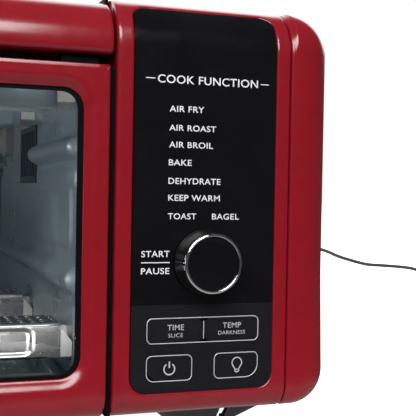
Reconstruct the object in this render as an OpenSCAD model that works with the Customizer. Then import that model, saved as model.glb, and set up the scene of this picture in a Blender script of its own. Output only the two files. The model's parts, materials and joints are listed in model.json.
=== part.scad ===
// Wide, flat countertop air-fry toaster oven with a drop-down glass door.
// +X right and +Z up as seen from the front, front face towards -Y, millimetres.
// The origin is under the middle of the oven, on the surface that it stands on.

/* [Body] */
// Overall width over both end caps
body_w = 500; // [470:1:520]
// Overall depth from the knob's face to the rear bumpers
body_d = 384; // [370:1:400]
// Height of the top cover above the worktop
body_top = 194; // [190:1:200]
// Height of the gap under the base
foot_h = 13.5; // [12:0.5:16]
// Radius of the rounded top front edge
top_r = 22; // [18:1:24]
// Radius of the rounded bottom front edge
bottom_r = 12; // [10:1:13]
// Width of each end cap
cap_w = 23.1; // [20:0.1:26]
// Thickness of the moulded shells
shell_t = 2.5; // [2:0.1:3]
// Thickness of the sheet steel
sheet_t = 1; // [0.8:0.1:1.2]

/* [Door] */
// Right end of the door
door_x1 = 144.4; // [140:0.1:144.6]
// Top edge of the door's frame
door_top = 163; // [160:0.5:165]
// Thickness of the door
door_t = 17; // [16:0.5:18]
// Width of the frame beside the window
frame_side = 10.7; // [9:0.1:12]
// Height of the frame above the window
frame_top = 10.2; // [9:0.1:12]
// Height of the frame below the window
frame_bottom = 18.7; // [17:0.1:20]
// Corner radius of the window
window_r = 9; // [7:1:11]
// Height of the handle bar
handle_h = 25; // [22:1:26]
// Depth of the handle bar
handle_t = 15; // [13:1:16]
// How far each end of the bar stands out past the frame
handle_over = 1.4; // [0:0.1:1.5]

/* [Controls] */
// Left side of the control housing
house_x0 = 147; // [146.8:0.1:148]
// Width of the black panel
panel_w = 65.2; // [60:0.1:68]
// Height where the glossy lens meets the button panel
panel_split = 62.2; // [60:0.1:64]
// Height of the knob's axis
knob_z = 80.4; // [78:0.1:83]
// Radius of the knob's ring
knob_r = 12.8; // [11:0.1:14]
// Travel of the knob when it is pressed
knob_travel = 1; // [0.8:0.1:1.2]
// Travel of a button
button_travel = 0.8; // [0.5:0.1:1]

/* [Mains cord] */
// Diameter of the mains cord
cord_d = 3.2; // [3:0.1:4]

/* [Hidden] */
$fn = 48;

// Main planes
half_w = body_w / 2;
front_y = -body_d / 2 + 12;
back_y = body_d / 2 - 16;
cap_x = half_w - cap_w;
seam = 0.3;
gap = 0.3;
house_x1 = cap_x - seam;
house_d = 24;
red = "#8e1b25";
steel = "#9aa0a2";

// Door planes and hinge line
door_x0 = -cap_x + 2.7;
hinge_y = front_y + 10;
hinge_z = foot_h + 7;
pin_r = 3;
window_x0 = door_x0 + frame_side;
window_x1 = door_x1 - frame_side;
window_z0 = foot_h + frame_bottom;
window_z1 = door_top - frame_top;
handle_z0 = door_top + 4.3;
bezel_y = front_y + door_t + 1;
recess_y = front_y + 38;
base_y = front_y + house_d + seam;
flange_z = foot_h + 10;

// Cavity
cav_x0 = -214;
cav_x1 = 137;
cav_z0 = 29;
cav_z1 = 160;
cav_y1 = 130;
tray_z = 25;
rail_z = [64, 118];
rail_h = 12;

// Panel, buttons and knob
panel_x = 187;
panel_z0 = 24.3;
panel_z1 = body_top - 4.7;
panel_r = 7;
panel_t = 2.4;
trim_w = 0.7;
board_y = front_y + 12;
pair_x = [161.4, 212.9];
pair_z = [45.3, 56.5];
power_x = [161.4, 182.2];
light_x = [192.1, 212.9];
lone_z = [29.1, 40.5];
split_x = 187.15;
shaft_r = 3;

button_centres = [
    [(pair_x[0] + split_x) / 2, (pair_z[0] + pair_z[1]) / 2],
    [(pair_x[1] + split_x) / 2, (pair_z[0] + pair_z[1]) / 2],
    [(power_x[0] + power_x[1]) / 2, (lone_z[0] + lone_z[1]) / 2],
    [(light_x[0] + light_x[1]) / 2, (lone_z[0] + lone_z[1]) / 2]
];

// Fan
fan_y = -6;
fan_z = 112;
divider_x = 157;

// Lamp and temperature probe in the right wall
lamp_y = 75;
lamp_z = 142;
probe_y = 105;
probe_z = 128;

// Reflectors under and over the heating tubes
front_unit_y = front_y + 35;
rear_unit_y = front_y + 150;
unit_x0 = -207;
unit_x1 = 131.3;
lower_z = 44;
upper_z = cav_z1 - 9;

// Feet
foot_x = 198.5;
foot_y = [front_y + 46, back_y - 46];
pad_h = 3;

// Mains cord
cord_x = 205;
cord_z = 86;
relief_y = back_y + 22;
coil_r = 17.5;
coil_centre = [660, 215.5];
coil_turns = 4.25;
plug_x = coil_centre[0] + coil_r;

// Route of the cord's centre from the strain relief to the coil, and from the coil to the plug
route = [[205, 198, 86], [205, 207, 86], [206, 215, 86], [210, 223, 86], [217, 229, 86], [226, 232, 85.8],
         [250, 233, 85], [290, 233, 82.5], [330, 233, 79], [370, 233, 74], [410, 233, 67], [455, 233, 56.8],
         [473, 233, 50.3], [491, 233, 45.2], [506, 233, 41.9], [523, 233, 40.7], [547, 233, 38.7],
         [562, 233, 36], [585, 233, 28], [607, 233, 18], [627, 233, 9], [644, 233, 3.4], [660, 233, 1.65]];
tail = [[677.5, 215.5, 15.2], [677.5, 205, 15.2], [677.5, 192, 13.4], [677.5, 176, 10.2],
        [677.5, 160, 8.4], [677.5, 142, 8.2], [677.5, 124, 8.5]];

// ---- shared shapes -------------------------------------------------------

module block(x, y, z) {
    translate([x[0], y[0], z[0]])
        cube([x[1] - x[0], y[1] - y[0], z[1] - z[0]]);
}

module along_x(x0, x1) {
    translate([x0, 0, 0])
        rotate([90, 0, 90])
            linear_extrude(x1 - x0)
                children();
}

module along_y(y0, y1) {
    translate([0, y1, 0])
        rotate([90, 0, 0])
            linear_extrude(y1 - y0)
                children();
}

module rod_x(x0, x1, y, z, r) {
    translate([x0, y, z])
        rotate([0, 90, 0])
            cylinder(r = r, h = x1 - x0);
}

module rod_y(x, y0, y1, z, r) {
    translate([x, y0, z])
        rotate([-90, 0, 0])
            cylinder(r = r, h = y1 - y0);
}

// A rectangle with a radius of its own at each corner:
// r lists low-left, low-right, top-right and top-left
module rounded(x, z, r) {
    difference() {
        translate([x[0], z[0]])
            square([x[1] - x[0], z[1] - z[0]]);
        corner_cut(x[0], z[0], 1, 1, r[0]);
        corner_cut(x[1], z[0], -1, 1, r[1]);
        corner_cut(x[1], z[1], -1, -1, r[2]);
        corner_cut(x[0], z[1], 1, -1, r[3]);
    }
}

// What a rounded corner leaves out of a square one
module corner_cut(x, z, dx, dz, r) {
    if (r > 0)
        difference() {
            translate([x + (dx < 0 ? -r : -1), z + (dz < 0 ? -r : -1)])
                square(r + 1);
            translate([x + dx * r, z + dz * r])
                circle(r);
        }
}

// Section of the body from the side: rounded top and bottom front edges
module side_section(inset, y1) {
    rounded([front_y + inset, y1], [foot_h + inset, body_top - inset],
            [bottom_r - inset, 0, 0, top_r - inset]);
}

// Opening or outline of the black panel, seen from the front
module panel_outline(inset, z0, z1, r_low, r_high) {
    half = panel_w / 2 - inset;
    rounded([panel_x - half, panel_x + half], [z0, z1], [r_low, r_low, r_high, r_high]);
}

// Skin of the panel, which follows the rounded top edge
module panel_skin(inset, thickness) {
    difference() {
        along_x(panel_x - 40, panel_x + 40)
            side_section(inset, front_y + house_d);
        along_x(panel_x - 41, panel_x + 41)
            side_section(inset + thickness, front_y + house_d + 1);
    }
}

// Domed screw head and shank along Y
module screw_y(x, y, z) {
    rod_y(x, y - 8, y + 1.8, z, 1.6);
    rod_y(x, y, y + 1.8, z, 3.4);
}

// Screw head and shank from below
module screw_up(x, y) {
    translate([x, y, foot_h - 1.6])
        cylinder(r = 3.2, h = 1.6);
    translate([x, y, foot_h - 1.6])
        cylinder(r = 1.6, h = 8);
}

module slots_y(x0, pitch, count, w, z, y) {
    for (i = [0:count - 1])
        block([x0 + i * pitch, x0 + i * pitch + w], y, z);
}

// ---- casing --------------------------------------------------------------

module top_cover() {
    color(red) {
        block([-house_x1, house_x1], [recess_y, back_y - 1], [body_top - sheet_t, body_top]);
        block([house_x0, house_x1], [front_y + house_d + seam, recess_y], [body_top - sheet_t, body_top]);
        block([-house_x1, house_x0 - gap], [recess_y, recess_y + sheet_t],
              [door_top + 1, body_top - sheet_t]);
        block([-house_x1, house_x1], [back_y - 1 - sheet_t, back_y - 1], [body_top - 14, body_top - sheet_t]);
    }
}

module base_pan() {
    color("#202124")
    difference() {
        union() {
            block([-house_x1, house_x1], [base_y, back_y - 1], [foot_h, foot_h + sheet_t]);
            block([-house_x1, house_x1], [back_y - 1 - sheet_t, back_y - 1], [foot_h + sheet_t, flange_z]);
            for (x = [-house_x1, house_x1 - sheet_t])
                block([x, x + sheet_t], [recess_y, back_y - 1], [foot_h + sheet_t, flange_z]);
        }
        for (row = [0:2])
            slots_y(166, 8, 7, 4, [foot_h - 1, foot_h + 2], [row * 30 + 30, row * 30 + 50]);
    }
}

module back_panel() {
    color("#1d1e20")
    difference() {
        block([-house_x1, house_x1], [back_y - 1, back_y], [foot_h, body_top]);
        for (row = [0:2])
            slots_y(158, 7, 8, 3.5, [112 + row * 24, 128 + row * 24], [back_y - 2, back_y + 1]);
        for (row = [0:1])
            slots_y(-170, 9, 30, 4, [164 + row * 10, 170 + row * 10], [back_y - 2, back_y + 1]);
        block([-205, 128], [back_y - 2, back_y + 1], [tray_z - 1, tray_z + 9]);
        rod_y(cord_x, back_y - 2, back_y + 1, cord_z, 6.05);
    }
}

module end_cap() {
    difference() {
        cap_solid(0, cap_x, half_w);
        cap_solid(shell_t, cap_x - 1, half_w - shell_t);
        for (row = [0:1])
            for (i = [0:9])
                block([half_w - 6, half_w + 1], [i * 10 - 20, i * 10 - 15], [60 + row * 46, 96 + row * 46]);
    }
}

// Body of an end cap: the side, front and plan sections cut out of each other
module cap_solid(inset, x0, x1) {
    intersection() {
        along_x(x0, x1)
            rounded([front_y + inset, back_y - inset], [foot_h + inset, body_top - inset],
                    [bottom_r - inset, 8 - inset, 8 - inset, top_r - inset]);
        along_y(front_y - 1, back_y + 1)
            rounded([cap_x - 30, x1], [foot_h + inset, body_top - inset],
                    [0, 17 - inset, 20 - inset, 0]);
        linear_extrude(body_top + 1)
            rounded([cap_x - 30, x1], [front_y + inset, back_y - inset],
                    [0, 20 - inset, 10 - inset, 0]);
    }
}

module right_end_cap() {
    color(red) end_cap();
}

module left_end_cap() {
    color(red) mirror([1, 0, 0]) end_cap();
}

module front_bezel() {
    color("#1c1c1f") {
        difference() {
            block([-house_x1 + 2, house_x0 - 2], [bezel_y, bezel_y + sheet_t], [foot_h + 1, door_top]);
            along_y(bezel_y - 1, bezel_y + 2)
                rounded([cav_x0, cav_x1], [cav_z0, cav_z1 - 3], [6, 6, 6, 6]);
            block([-230, 150], [bezel_y - 1, bezel_y + 2], [foot_h, hinge_z + 5]);
        }
        block([-house_x1 + 2, house_x0 - 2], [bezel_y, recess_y + sheet_t], [door_top, door_top + 1]);
        block([-house_x1 + 2, house_x0 - 2], [recess_y - 1.3, recess_y - 0.4], [door_top + 1, body_top - 9]);
    }
}

// Steel side plate of the door opening and of the finger recess above it,
// with the hole that the hinge pin turns in
module door_jamb(x) {
    difference() {
        union() {
            block(x, [front_y + 3, recess_y], [foot_h + 1, door_top - 1]);
            block(x, [bezel_y, recess_y], [door_top - 1, body_top]);
        }
        rod_x(x[0] - 1, x[1] + 1, hinge_y, hinge_z, pin_r + 0.05);
    }
}

module right_door_jamb() {
    color("#1c1c1f") door_jamb([house_x0 - 1.8, house_x0 - 0.2]);
}

module left_door_jamb() {
    color("#1c1c1f") door_jamb([-cap_x + 0.4, -cap_x + 2]);
}

// ---- control side --------------------------------------------------------

module control_housing() {
    color(red)
    difference() {
        along_x(house_x0, house_x1)
            side_section(0, front_y + house_d);
        along_x(house_x0 + shell_t, house_x1 - shell_t)
            side_section(shell_t, front_y + house_d + 1);
        along_y(front_y - 1, front_y + house_d + 1)
            panel_outline(0, panel_z0, panel_z1, panel_r, panel_r);
    }
}

module panel_lens() {
    color("#0e0e12")
    difference() {
        intersection() {
            panel_skin(0.1, panel_t);
            along_y(front_y - 1, front_y + house_d)
                panel_outline(0.15, panel_split + 0.1, panel_z1 - 0.15, 0, panel_r);
        }
        rod_y(panel_x, front_y - 1, front_y + 5, knob_z, 5);
    }
}

module button_panel() {
    color("#1a1a1e")
    difference() {
        intersection() {
            panel_skin(0.1, panel_t);
            along_y(front_y - 1, front_y + house_d)
                panel_outline(0.15, panel_z0 + 0.15, panel_split - 0.1, panel_r, 0);
        }
        along_y(front_y - 1, front_y + 5) {
            button_outline(pair_x, pair_z, -trim_w / 2, 0);
            button_outline(power_x, lone_z, -trim_w / 2, 1);
            button_outline(light_x, lone_z, -trim_w / 2, 2);
        }
    }
}

// Outline of a button or of the pair; big names the corner with the larger radius
module button_outline(x, z, inset, big) {
    r = 3 - inset;
    wide = 5.5 - inset;
    rounded([x[0] + inset, x[1] - inset], [z[0] + inset, z[1] - inset],
            [big == 1 ? wide : r, big == 2 ? wide : r, r, r]);
}

module trim(x, z, big) {
    along_y(front_y - 0.15, front_y + panel_t)
        difference() {
            button_outline(x, z, -trim_w / 2, big);
            button_outline(x, z, trim_w / 2, big);
        }
}

module button_trims() {
    color("silver") {
        trim(pair_x, pair_z, 0);
        trim(power_x, lone_z, 1);
        trim(light_x, lone_z, 2);
        block([split_x - trim_w / 2, split_x + trim_w / 2], [front_y - 0.15, front_y + panel_t],
              [pair_z[0] + trim_w / 2, pair_z[1] - trim_w / 2]);
    }
}

module panel_chassis() {
    color("#242529")
    difference() {
        intersection() {
            panel_skin(panel_t + 0.2, 2);
            along_y(front_y - 1, front_y + house_d)
                panel_outline(-1.5, panel_z0 - 1.5, panel_z1 - 4, panel_r, panel_r);
        }
        rod_y(panel_x, front_y, front_y + 8, knob_z, 6);
        block([pair_x[0] - 1, pair_x[1] + 1], [front_y, front_y + 6], [lone_z[0] - 1, pair_z[1] + 1]);
        block([161, 213], [front_y, front_y + 9], [160, 184]);
    }
}

module display_module() {
    color("#15181c")
        block([162, 212], [front_y + 7.2, board_y], [161, 180]);
}

module control_board() {
    color("#1f5a37") {
        difference() {
            block([152, 222], [board_y, board_y + 1.6], [20, 182]);
            for (x = [156, 218])
                for (z = [24, 178])
                    rod_y(x, board_y - 1, board_y + 3, z, 1.7);
        }
        for (c = button_centres)
            block([c[0] - 3, c[0] + 3], [board_y - 3.2, board_y], [c[1] - 3, c[1] + 3]);
        block([160, 176], [board_y + 1.6, board_y + 5], [110, 126]);
        block([190, 214], [board_y + 1.6, board_y + 10], [130, 146]);
    }
}

// Key cap with a stem that ends just short of its switch
module key_cap(x, z, big, centre) {
    along_y(front_y + 0.1, front_y + 3)
        button_outline(x, z, trim_w / 2 + gap, big);
    rod_y(centre[0], front_y + 3, board_y - 3.2 - button_travel - 0.05, centre[1], 1.6);
}

module time_button() {
    color("#1a1a1e")
        key_cap([pair_x[0], split_x], pair_z, 0, button_centres[0]);
}

module temp_button() {
    color("#1a1a1e")
        key_cap([split_x, pair_x[1]], pair_z, 0, button_centres[1]);
}

module power_button() {
    color("#1a1a1e")
        key_cap(power_x, lone_z, 1, button_centres[2]);
}

module light_button() {
    color("#1a1a1e")
        key_cap(light_x, lone_z, 2, button_centres[3]);
}

// Rotary encoder: fixed body, sliding bushing, and the shaft that turns in it
module encoder_body() {
    color("#50555a")
    difference() {
        block([panel_x - 7, panel_x + 7], [front_y + 5, board_y], [knob_z - 7, knob_z + 7]);
        rod_y(panel_x, front_y + 4, board_y + 1, knob_z, 4.85);
    }
}

module encoder_bushing() {
    color("#c0a060")
    difference() {
        rod_y(panel_x, front_y + 3, front_y + 8, knob_z, 4.8);
        rod_y(panel_x, front_y + 2, front_y + 9, knob_z, shaft_r + 0.05);
    }
}

module encoder_shaft() {
    color("silver")
        rod_y(panel_x, front_y - 8.2, board_y - knob_travel - 0.4, knob_z, shaft_r);
}

// Turned shape about the knob's axis: points are radius and distance in front of the panel
module turned(points) {
    translate([panel_x, front_y, knob_z])
        rotate([90, 0, 0])
            rotate_extrude($fn = 96)
                polygon(points);
}

module knob_skirt() {
    color("#141416")
        turned([[0, 8.6], [knob_r - 0.1, 8.6], [knob_r, 8], [knob_r + 2.3, 2.2], [knob_r + 2.7, 1.6],
                [knob_r + 0.7, 1.6], [knob_r - 2.5, 6.6], [shaft_r + 2.5, 6.6], [shaft_r + 2.5, 1.6],
                [shaft_r, 1.6], [shaft_r, 8.2], [0, 8.2]]);
}

module knob_ring() {
    color("silver")
        turned([[knob_r - 1.8, 8.6], [knob_r, 8.6], [knob_r, 11.2], [knob_r - 0.7, 12],
                [knob_r - 1.1, 12], [knob_r - 1.8, 11.4]]);
}

module knob_face() {
    color("#101013")
        turned([[0, 8.6], [knob_r - 1.8, 8.6], [knob_r - 1.8, 11.2], [0, 11.2]]);
}

module power_board() {
    color("#2a6b3f") {
        block([163, 222], [30, 150], [foot_h + 8, foot_h + 9.6]);
        block([168, 192], [40, 70], [foot_h + 9.6, foot_h + 32]);
        block([198, 216], [46, 66], [foot_h + 9.6, foot_h + 27]);
        block([170, 190], [95, 125], [foot_h + 9.6, foot_h + 24]);
    }
    color("#3a3a3c")
        for (x = [168, 217])
            for (y = [34, 146])
                translate([x, y, foot_h + sheet_t])
                    cylinder(r = 3, h = 7);
}

// ---- cavity --------------------------------------------------------------

module cavity_liner() {
    color(steel)
    difference() {
        block([cav_x0 - sheet_t, cav_x1 + sheet_t], [bezel_y + sheet_t, cav_y1 + sheet_t],
              [tray_z - gap - sheet_t, cav_z1 + sheet_t]);
        block([cav_x0, cav_x1], [bezel_y, cav_y1], [tray_z - gap, cav_z1]);
        block([cav_x0 + 5, cav_x1 - 5], [cav_y1 - 1, cav_y1 + 2], [tray_z - 1, tray_z + 9]);
        block([cav_x1 - 1, cav_x1 + 2], [fan_y - 27, fan_y + 27], [117, 145.5]);
        rod_x(cav_x1 - 1, cav_x1 + 2, lamp_y, lamp_z, 11);
        rod_x(cav_x1 - 1, cav_x1 + 2, probe_y, probe_z, 1.6);
        for (y = [front_unit_y + 14, rear_unit_y + 14]) {
            rod_x(cav_x0 - 2, cav_x1 + 2, y, lower_z, 4.2);
            rod_x(cav_x0 - 2, cav_x1 + 2, y, upper_z, 4.2);
        }
    }
    color(steel)
        for (rail = [[rail_z[0], cav_y1 - 4], [rail_z[1], fan_y - 34]]) {
            rail([cav_x0, cav_x0 + 5], -1, rail[1], rail[0]);
            rail([cav_x1 - 5, cav_x1], 1, rail[1], rail[0]);
        }
}

// Rail pressed out of a side wall, hollow on the side that faces the wall
module rail(x, side, y1, z) {
    difference() {
        block(x, [bezel_y + 8, y1], [z, z + rail_h]);
        block([x[0] + side, x[1] + side], [bezel_y + 9, y1 - 1], [z + 1, z + rail_h - 1]);
    }
}

module bay_divider() {
    color("#b8bcbe")
    difference() {
        block([divider_x, divider_x + sheet_t], [recess_y + 4, back_y - 2.5], [foot_h + 1.5, body_top - 2]);
        rod_x(divider_x - 1, divider_x + 3, fan_y, fan_z, 5);
    }
}

module insulation_blanket() {
    color("#d8d2c0")
        block([cav_x0 + 4, cav_x1 - 4], [bezel_y + 24, cav_y1 - 4],
              [cav_z1 + sheet_t, cav_z1 + sheet_t + 14]);
}

// Quartz tube with a ceramic cap on each end
module heating_tube(y, z) {
    color("#e8d8c8")
        rod_x(cav_x0 - 6, cav_x1 + 6, y, z, 3.6);
    color("#f0ece2")
        for (x = [cav_x0 - 9, cav_x1 + 3])
            rod_x(x, x + 6, y, z, 5.5);
}

module upper_element_front() {
    heating_tube(front_unit_y + 14, upper_z);
}

module upper_element_rear() {
    heating_tube(rear_unit_y + 14, upper_z);
}

module lower_element_front() {
    heating_tube(front_unit_y + 14, lower_z);
}

module lower_element_rear() {
    heating_tube(rear_unit_y + 14, lower_z);
}

// Trough under a lower tube, with end brackets and guard bars over it
module lower_reflector(y) {
    color("#a9acab")
    difference() {
        union() {
            block([unit_x0, unit_x1], [y, y + sheet_t], [35, 50.5]);
            block([unit_x0, unit_x1], [y, y + 4], [49.5, 50.5]);
            block([unit_x0, unit_x1], [y, y + 28], [35, 36]);
            block([unit_x0, unit_x1], [y + 27, y + 28], [35, 50.5]);
            for (wall_y = [y, y + 27])
                along_y(wall_y, wall_y + sheet_t) {
                    polygon([[unit_x1, 35], [unit_x1 + 5.5, 35], [unit_x1 + 5.5, 42], [unit_x1, 47.5]]);
                    polygon([[unit_x0, 35], [unit_x0 - 6.8, 35], [unit_x0 - 6.8, 42], [unit_x0, 47.5]]);
                }
            for (i = [0:16])
                block([unit_x0 + 8 + i * 20, unit_x0 + 14 + i * 20], [y, y + 28], [50.5, 51.5]);
        }
        along_y(y - 1, y + 0.4)
            rounded([unit_x0 + 12, unit_x1 - 13], [37, 48.5], [3, 3, 3, 3]);
    }
}

module lower_reflector_front() {
    lower_reflector(front_unit_y);
}

module lower_reflector_rear() {
    lower_reflector(rear_unit_y);
}

module upper_reflectors() {
    color("#a9acab")
        for (y = [front_unit_y, rear_unit_y]) {
            block([unit_x0, unit_x1 - 3], [y, y + sheet_t], [147, cav_z1]);
            block([unit_x0, unit_x1 - 3], [y + 27, y + 28], [147, cav_z1]);
        }
}

module fan_grille() {
    color("#202326")
    difference() {
        block([cav_x1 - 0.9, cav_x1], [fan_y - 30, fan_y + 30], [114, 147]);
        for (i = [0:8])
            block([cav_x1 - 2, cav_x1 + 1], [fan_y - 26 + i * 6, fan_y - 22.5 + i * 6], [118, 144]);
    }
}

module fan_blade() {
    color("#8d9294")
    difference() {
        union() {
            rod_x(cav_x1 + 3, cav_x1 + 15, fan_y, fan_z, 8);
            rod_x(cav_x1 + 14, cav_x1 + 15, fan_y, fan_z, 33);
            for (i = [0:9])
                translate([cav_x1 + 3.5, fan_y, fan_z])
                    rotate([i * 36, 0, 0])
                        translate([0, 6, -0.5])
                            cube([11, 26, 1]);
        }
        rod_x(cav_x1 + 2, cav_x1 + 16, fan_y, fan_z, shaft_r);
    }
}

module fan_shaft() {
    color("silver")
        rod_x(cav_x1 + 3, divider_x + 30, fan_y, fan_z, shaft_r);
}

module fan_motor() {
    color("#6c7074")
    difference() {
        union() {
            rod_x(divider_x + 4, divider_x + 28, fan_y, fan_z, 26);
            rod_x(divider_x + 1, divider_x + 4, fan_y, fan_z, 12);
            block([divider_x + 1, divider_x + 4], [fan_y - 34, fan_y + 34], [fan_z - 5, fan_z + 5]);
        }
        rod_x(divider_x, divider_x + 31, fan_y, fan_z, shaft_r + 0.05);
    }
}

module lamp_bulb() {
    color("#fff2d0")
    translate([cav_x1, lamp_y, lamp_z])
        rotate([0, -90, 0])
            rotate_extrude()
                polygon([[0, 9], [2.6, 8.4], [4.9, 6.6], [6, 4], [5.6, 1.5], [4.4, -1],
                         [7, -1], [7, -16], [0, -16]]);
}

module lamp_cover() {
    color("#dfe8ea")
    translate([cav_x1, lamp_y, lamp_z])
        rotate([0, -90, 0])
            rotate_extrude()
                polygon([[0, 11], [8, 9], [10, 5], [10, 1], [13, 1], [13, 0],
                         [9, 0], [9, 5], [7.4, 8.2], [0, 10]]);
}

module temperature_probe() {
    color("silver") {
        rod_x(cav_x1 - 30, cav_x1 + 10, probe_y, probe_z, 1.5);
        rod_x(cav_x1 + 1, cav_x1 + 6, probe_y, probe_z, 4);
    }
}

module crumb_tray() {
    color("#7f8688") {
        block([-203, 126], [bezel_y + 4, back_y + 3], [tray_z, tray_z + sheet_t]);
        block([-203, -202], [bezel_y + 4, back_y], [tray_z + sheet_t, tray_z + 6]);
        block([125, 126], [bezel_y + 4, back_y], [tray_z + sheet_t, tray_z + 6]);
        block([-203, 126], [bezel_y + 4, bezel_y + 5], [tray_z + sheet_t, tray_z + 6]);
        block([-212, 135], [back_y + 2, back_y + 3], [tray_z, tray_z + 12]);
        block([-60, -16], [back_y + 3, back_y + 14], [tray_z + 3, tray_z + 5]);
    }
}

// ---- door ----------------------------------------------------------------

// Section of the door's outer frame from the side
module door_section(inset, y1) {
    rounded([front_y + inset, y1], [foot_h + inset, door_top - inset],
            [bottom_r - inset, inset > 0 ? 0 : 5, 0, inset > 0 ? 0 : 2]);
}

module door_frame() {
    color(red)
    difference() {
        along_x(door_x0, door_x1)
            door_section(0, front_y + door_t);
        along_x(door_x0 + shell_t, door_x1 - shell_t)
            rounded([front_y + 3, front_y + door_t + 1], [foot_h + 3, door_top - 3], [9, 0, 0, 0]);
        along_y(front_y - 1, front_y + door_t)
            rounded([window_x0, window_x1], [window_z0, window_z1], [window_r, window_r, window_r, window_r]);
        along_y(front_y - 1, front_y + 1.5)
            rounded([window_x0 - 5, window_x1 + 5], [window_z0 - 5, window_z1 + 5], [14, 14, 14, 14]);
        rod_x(door_x0 - 1, door_x1 + 1, hinge_y, hinge_z, pin_r);
    }
}

module glass_gasket() {
    color("#18191b")
    along_y(front_y + 3, front_y + 5)
        difference() {
            rounded([window_x0 - 4, window_x1 + 4], [window_z0 - 4, window_z1 + 4], [6, 6, 6, 6]);
            rounded([window_x0 + 2.2, window_x1 - 2.2], [window_z0 + 1.5, window_z1 - 1.5], [7, 7, 7, 7]);
        }
}

module door_glass() {
    color("#9fb0b4", 0.35)
    along_y(front_y + 5, front_y + 9)
        rounded([window_x0 - 5, window_x1 + 5], [window_z0 - 5, window_z1 + 5], [4, 4, 4, 4]);
}

module door_inner_frame() {
    color("#303336")
    difference() {
        union() {
            block([door_x0 + 4, door_x1 - 4], [front_y + door_t - 1.2, front_y + door_t],
                  [hinge_z + 4, door_top - 4]);
            for (x = [[door_x0 + 4, door_x0 + 5.2], [door_x1 - 5.2, door_x1 - 4]])
                block(x, [front_y + 9.5, front_y + door_t - 1.2], [hinge_z + 4, door_top - 4]);
        }
        along_y(front_y + 9, front_y + door_t + 1)
            rounded([window_x0 - 2, window_x1 + 2], [window_z0 - 2, window_z1 + 2], [9, 9, 9, 9]);
    }
}

module handle_bar() {
    color(red)
    difference() {
        along_x(door_x0 - handle_over, door_x1 + handle_over)
            rounded([front_y, front_y + handle_t], [handle_z0, handle_z0 + handle_h], [3, 3, 3, 20]);
        for (x = [door_x0 + 12, door_x1 - 12])
            translate([x, front_y + 10, handle_z0 - 1])
                cylinder(r = 2, h = 14);
    }
}

// Posts that carry the bar above the frame, each with a screw into the bar
module handle_posts() {
    color("#151517")
        for (x = [door_x0 + 12, door_x1 - 12]) {
            block([x - 8, x + 8], [front_y + 5, front_y + handle_t - 1], [door_top, handle_z0]);
            translate([x, front_y + 10, door_top - 3])
                cylinder(r = 2, h = 18);
        }
}

module hinge_pins() {
    color("silver") {
        rod_x(door_x1 - 10, house_x0 - 0.25, hinge_y, hinge_z, pin_r);
        rod_x(-cap_x + 0.45, door_x0 + 10, hinge_y, hinge_z, pin_r);
    }
}

// ---- feet, bumpers and screws -------------------------------------------

module at_feet() {
    for (side = [0, 1])
        mirror([side, 0, 0])
            for (y = foot_y)
                translate([foot_x, y, 0])
                    children();
}

// Plate 1 mm thick with rounded corners, longer on its outer side
module foot_slab(half, corner, z, outer = 0) {
    for (x = [corner - half, half + outer - corner])
        for (y = [-1, 1])
            translate([x, y * (half - corner), z])
                cylinder(r = corner, h = 1, $fn = 32);
}

// Hollow moulding with a slot in front, open at its rear outer corner
module foot_shells() {
    color("#1b1b1d")
        at_feet()
            difference() {
                hull() {
                    foot_slab(16.5, 6, pad_h);
                    foot_slab(25.5, 9, foot_h - 1, 7);
                }
                hull() {
                    foot_slab(14.5, 4, pad_h + 2);
                    foot_slab(23.5, 7, foot_h, 7);
                }
                block([5.4, 9.2], [-30, 0], [0, foot_h + 1]);
                block([5.4, 37], [-12, 30], [0, foot_h + 1]);
            }
}

module foot_pads() {
    color("#101011")
        at_feet()
            cylinder(r = 9, h = pad_h);
}

module wall_bumpers() {
    color("#1b1b1d")
        for (x = [-206, 206])
            for (z = [52, 162])
                rod_y(x, back_y, body_d / 2, z, 11);
}

module case_screws() {
    color("#b0b3b5") {
        for (x = [-215, -110, 0, 110, 150, 215])
            screw_y(x, back_y, body_top - 8);
        for (x = [-215, 145, 215])
            screw_y(x, back_y, foot_h + 6);
        for (x = [-218, 150, 218])
            for (y = [front_y + 80, 0, back_y - 13])
                screw_up(x, y);
    }
}

// ---- mains cord ----------------------------------------------------------

function unit(v) = v / norm(v);
function heading(path, i) = unit(path[min(i + 1, len(path) - 1)] - path[max(i - 1, 0)]);
function ring(path, i, sides) =
    let (t = heading(path, i), s = unit(cross(t, [0, 0, 1])), u = cross(s, t), step = 360 / sides)
        [for (k = [0:sides - 1]) path[i] + cord_d / 2 * (cos(k * step) * s + sin(k * step) * u)];

// Round tube swept along a list of points
module tube(path, sides) {
    rings = len(path);
    points = [for (i = [0:rings - 1]) each ring(path, i, sides)];
    walls = [for (i = [0:rings - 2]) for (k = [0:sides - 1])
        [i * sides + k, i * sides + (k + 1) % sides, (i + 1) * sides + (k + 1) % sides, (i + 1) * sides + k]];
    first = [for (k = [0:sides - 1]) sides - 1 - k];
    last = [for (k = [0:sides - 1]) (rings - 1) * sides + k];
    polyhedron(points = points, faces = concat([first], walls, [last]), convexity = 4);
}

module cord_tube() {
    color("#37383a") {
        tube(route, 12);
        tube(tail, 12);
    }
}

module cord_coil() {
    color("#37383a")
        translate([coil_centre[0], coil_centre[1], 0])
            rotate_extrude()
                translate([coil_r - cord_d / 2, 0])
                    square([cord_d, (coil_turns + 1) * cord_d]);
}

module strain_relief() {
    color("#242528")
    translate([cord_x, 0, cord_z])
        rotate([-90, 0, 0])
            rotate_extrude()
                polygon([[0, back_y - 4], [7.5, back_y - 4], [7.5, back_y - 1], [6, back_y - 1], [6, back_y],
                         [8.5, back_y], [8.5, back_y + 3], [5.6, back_y + 4], [2.8, relief_y],
                         [0, relief_y]]);
}

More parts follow.
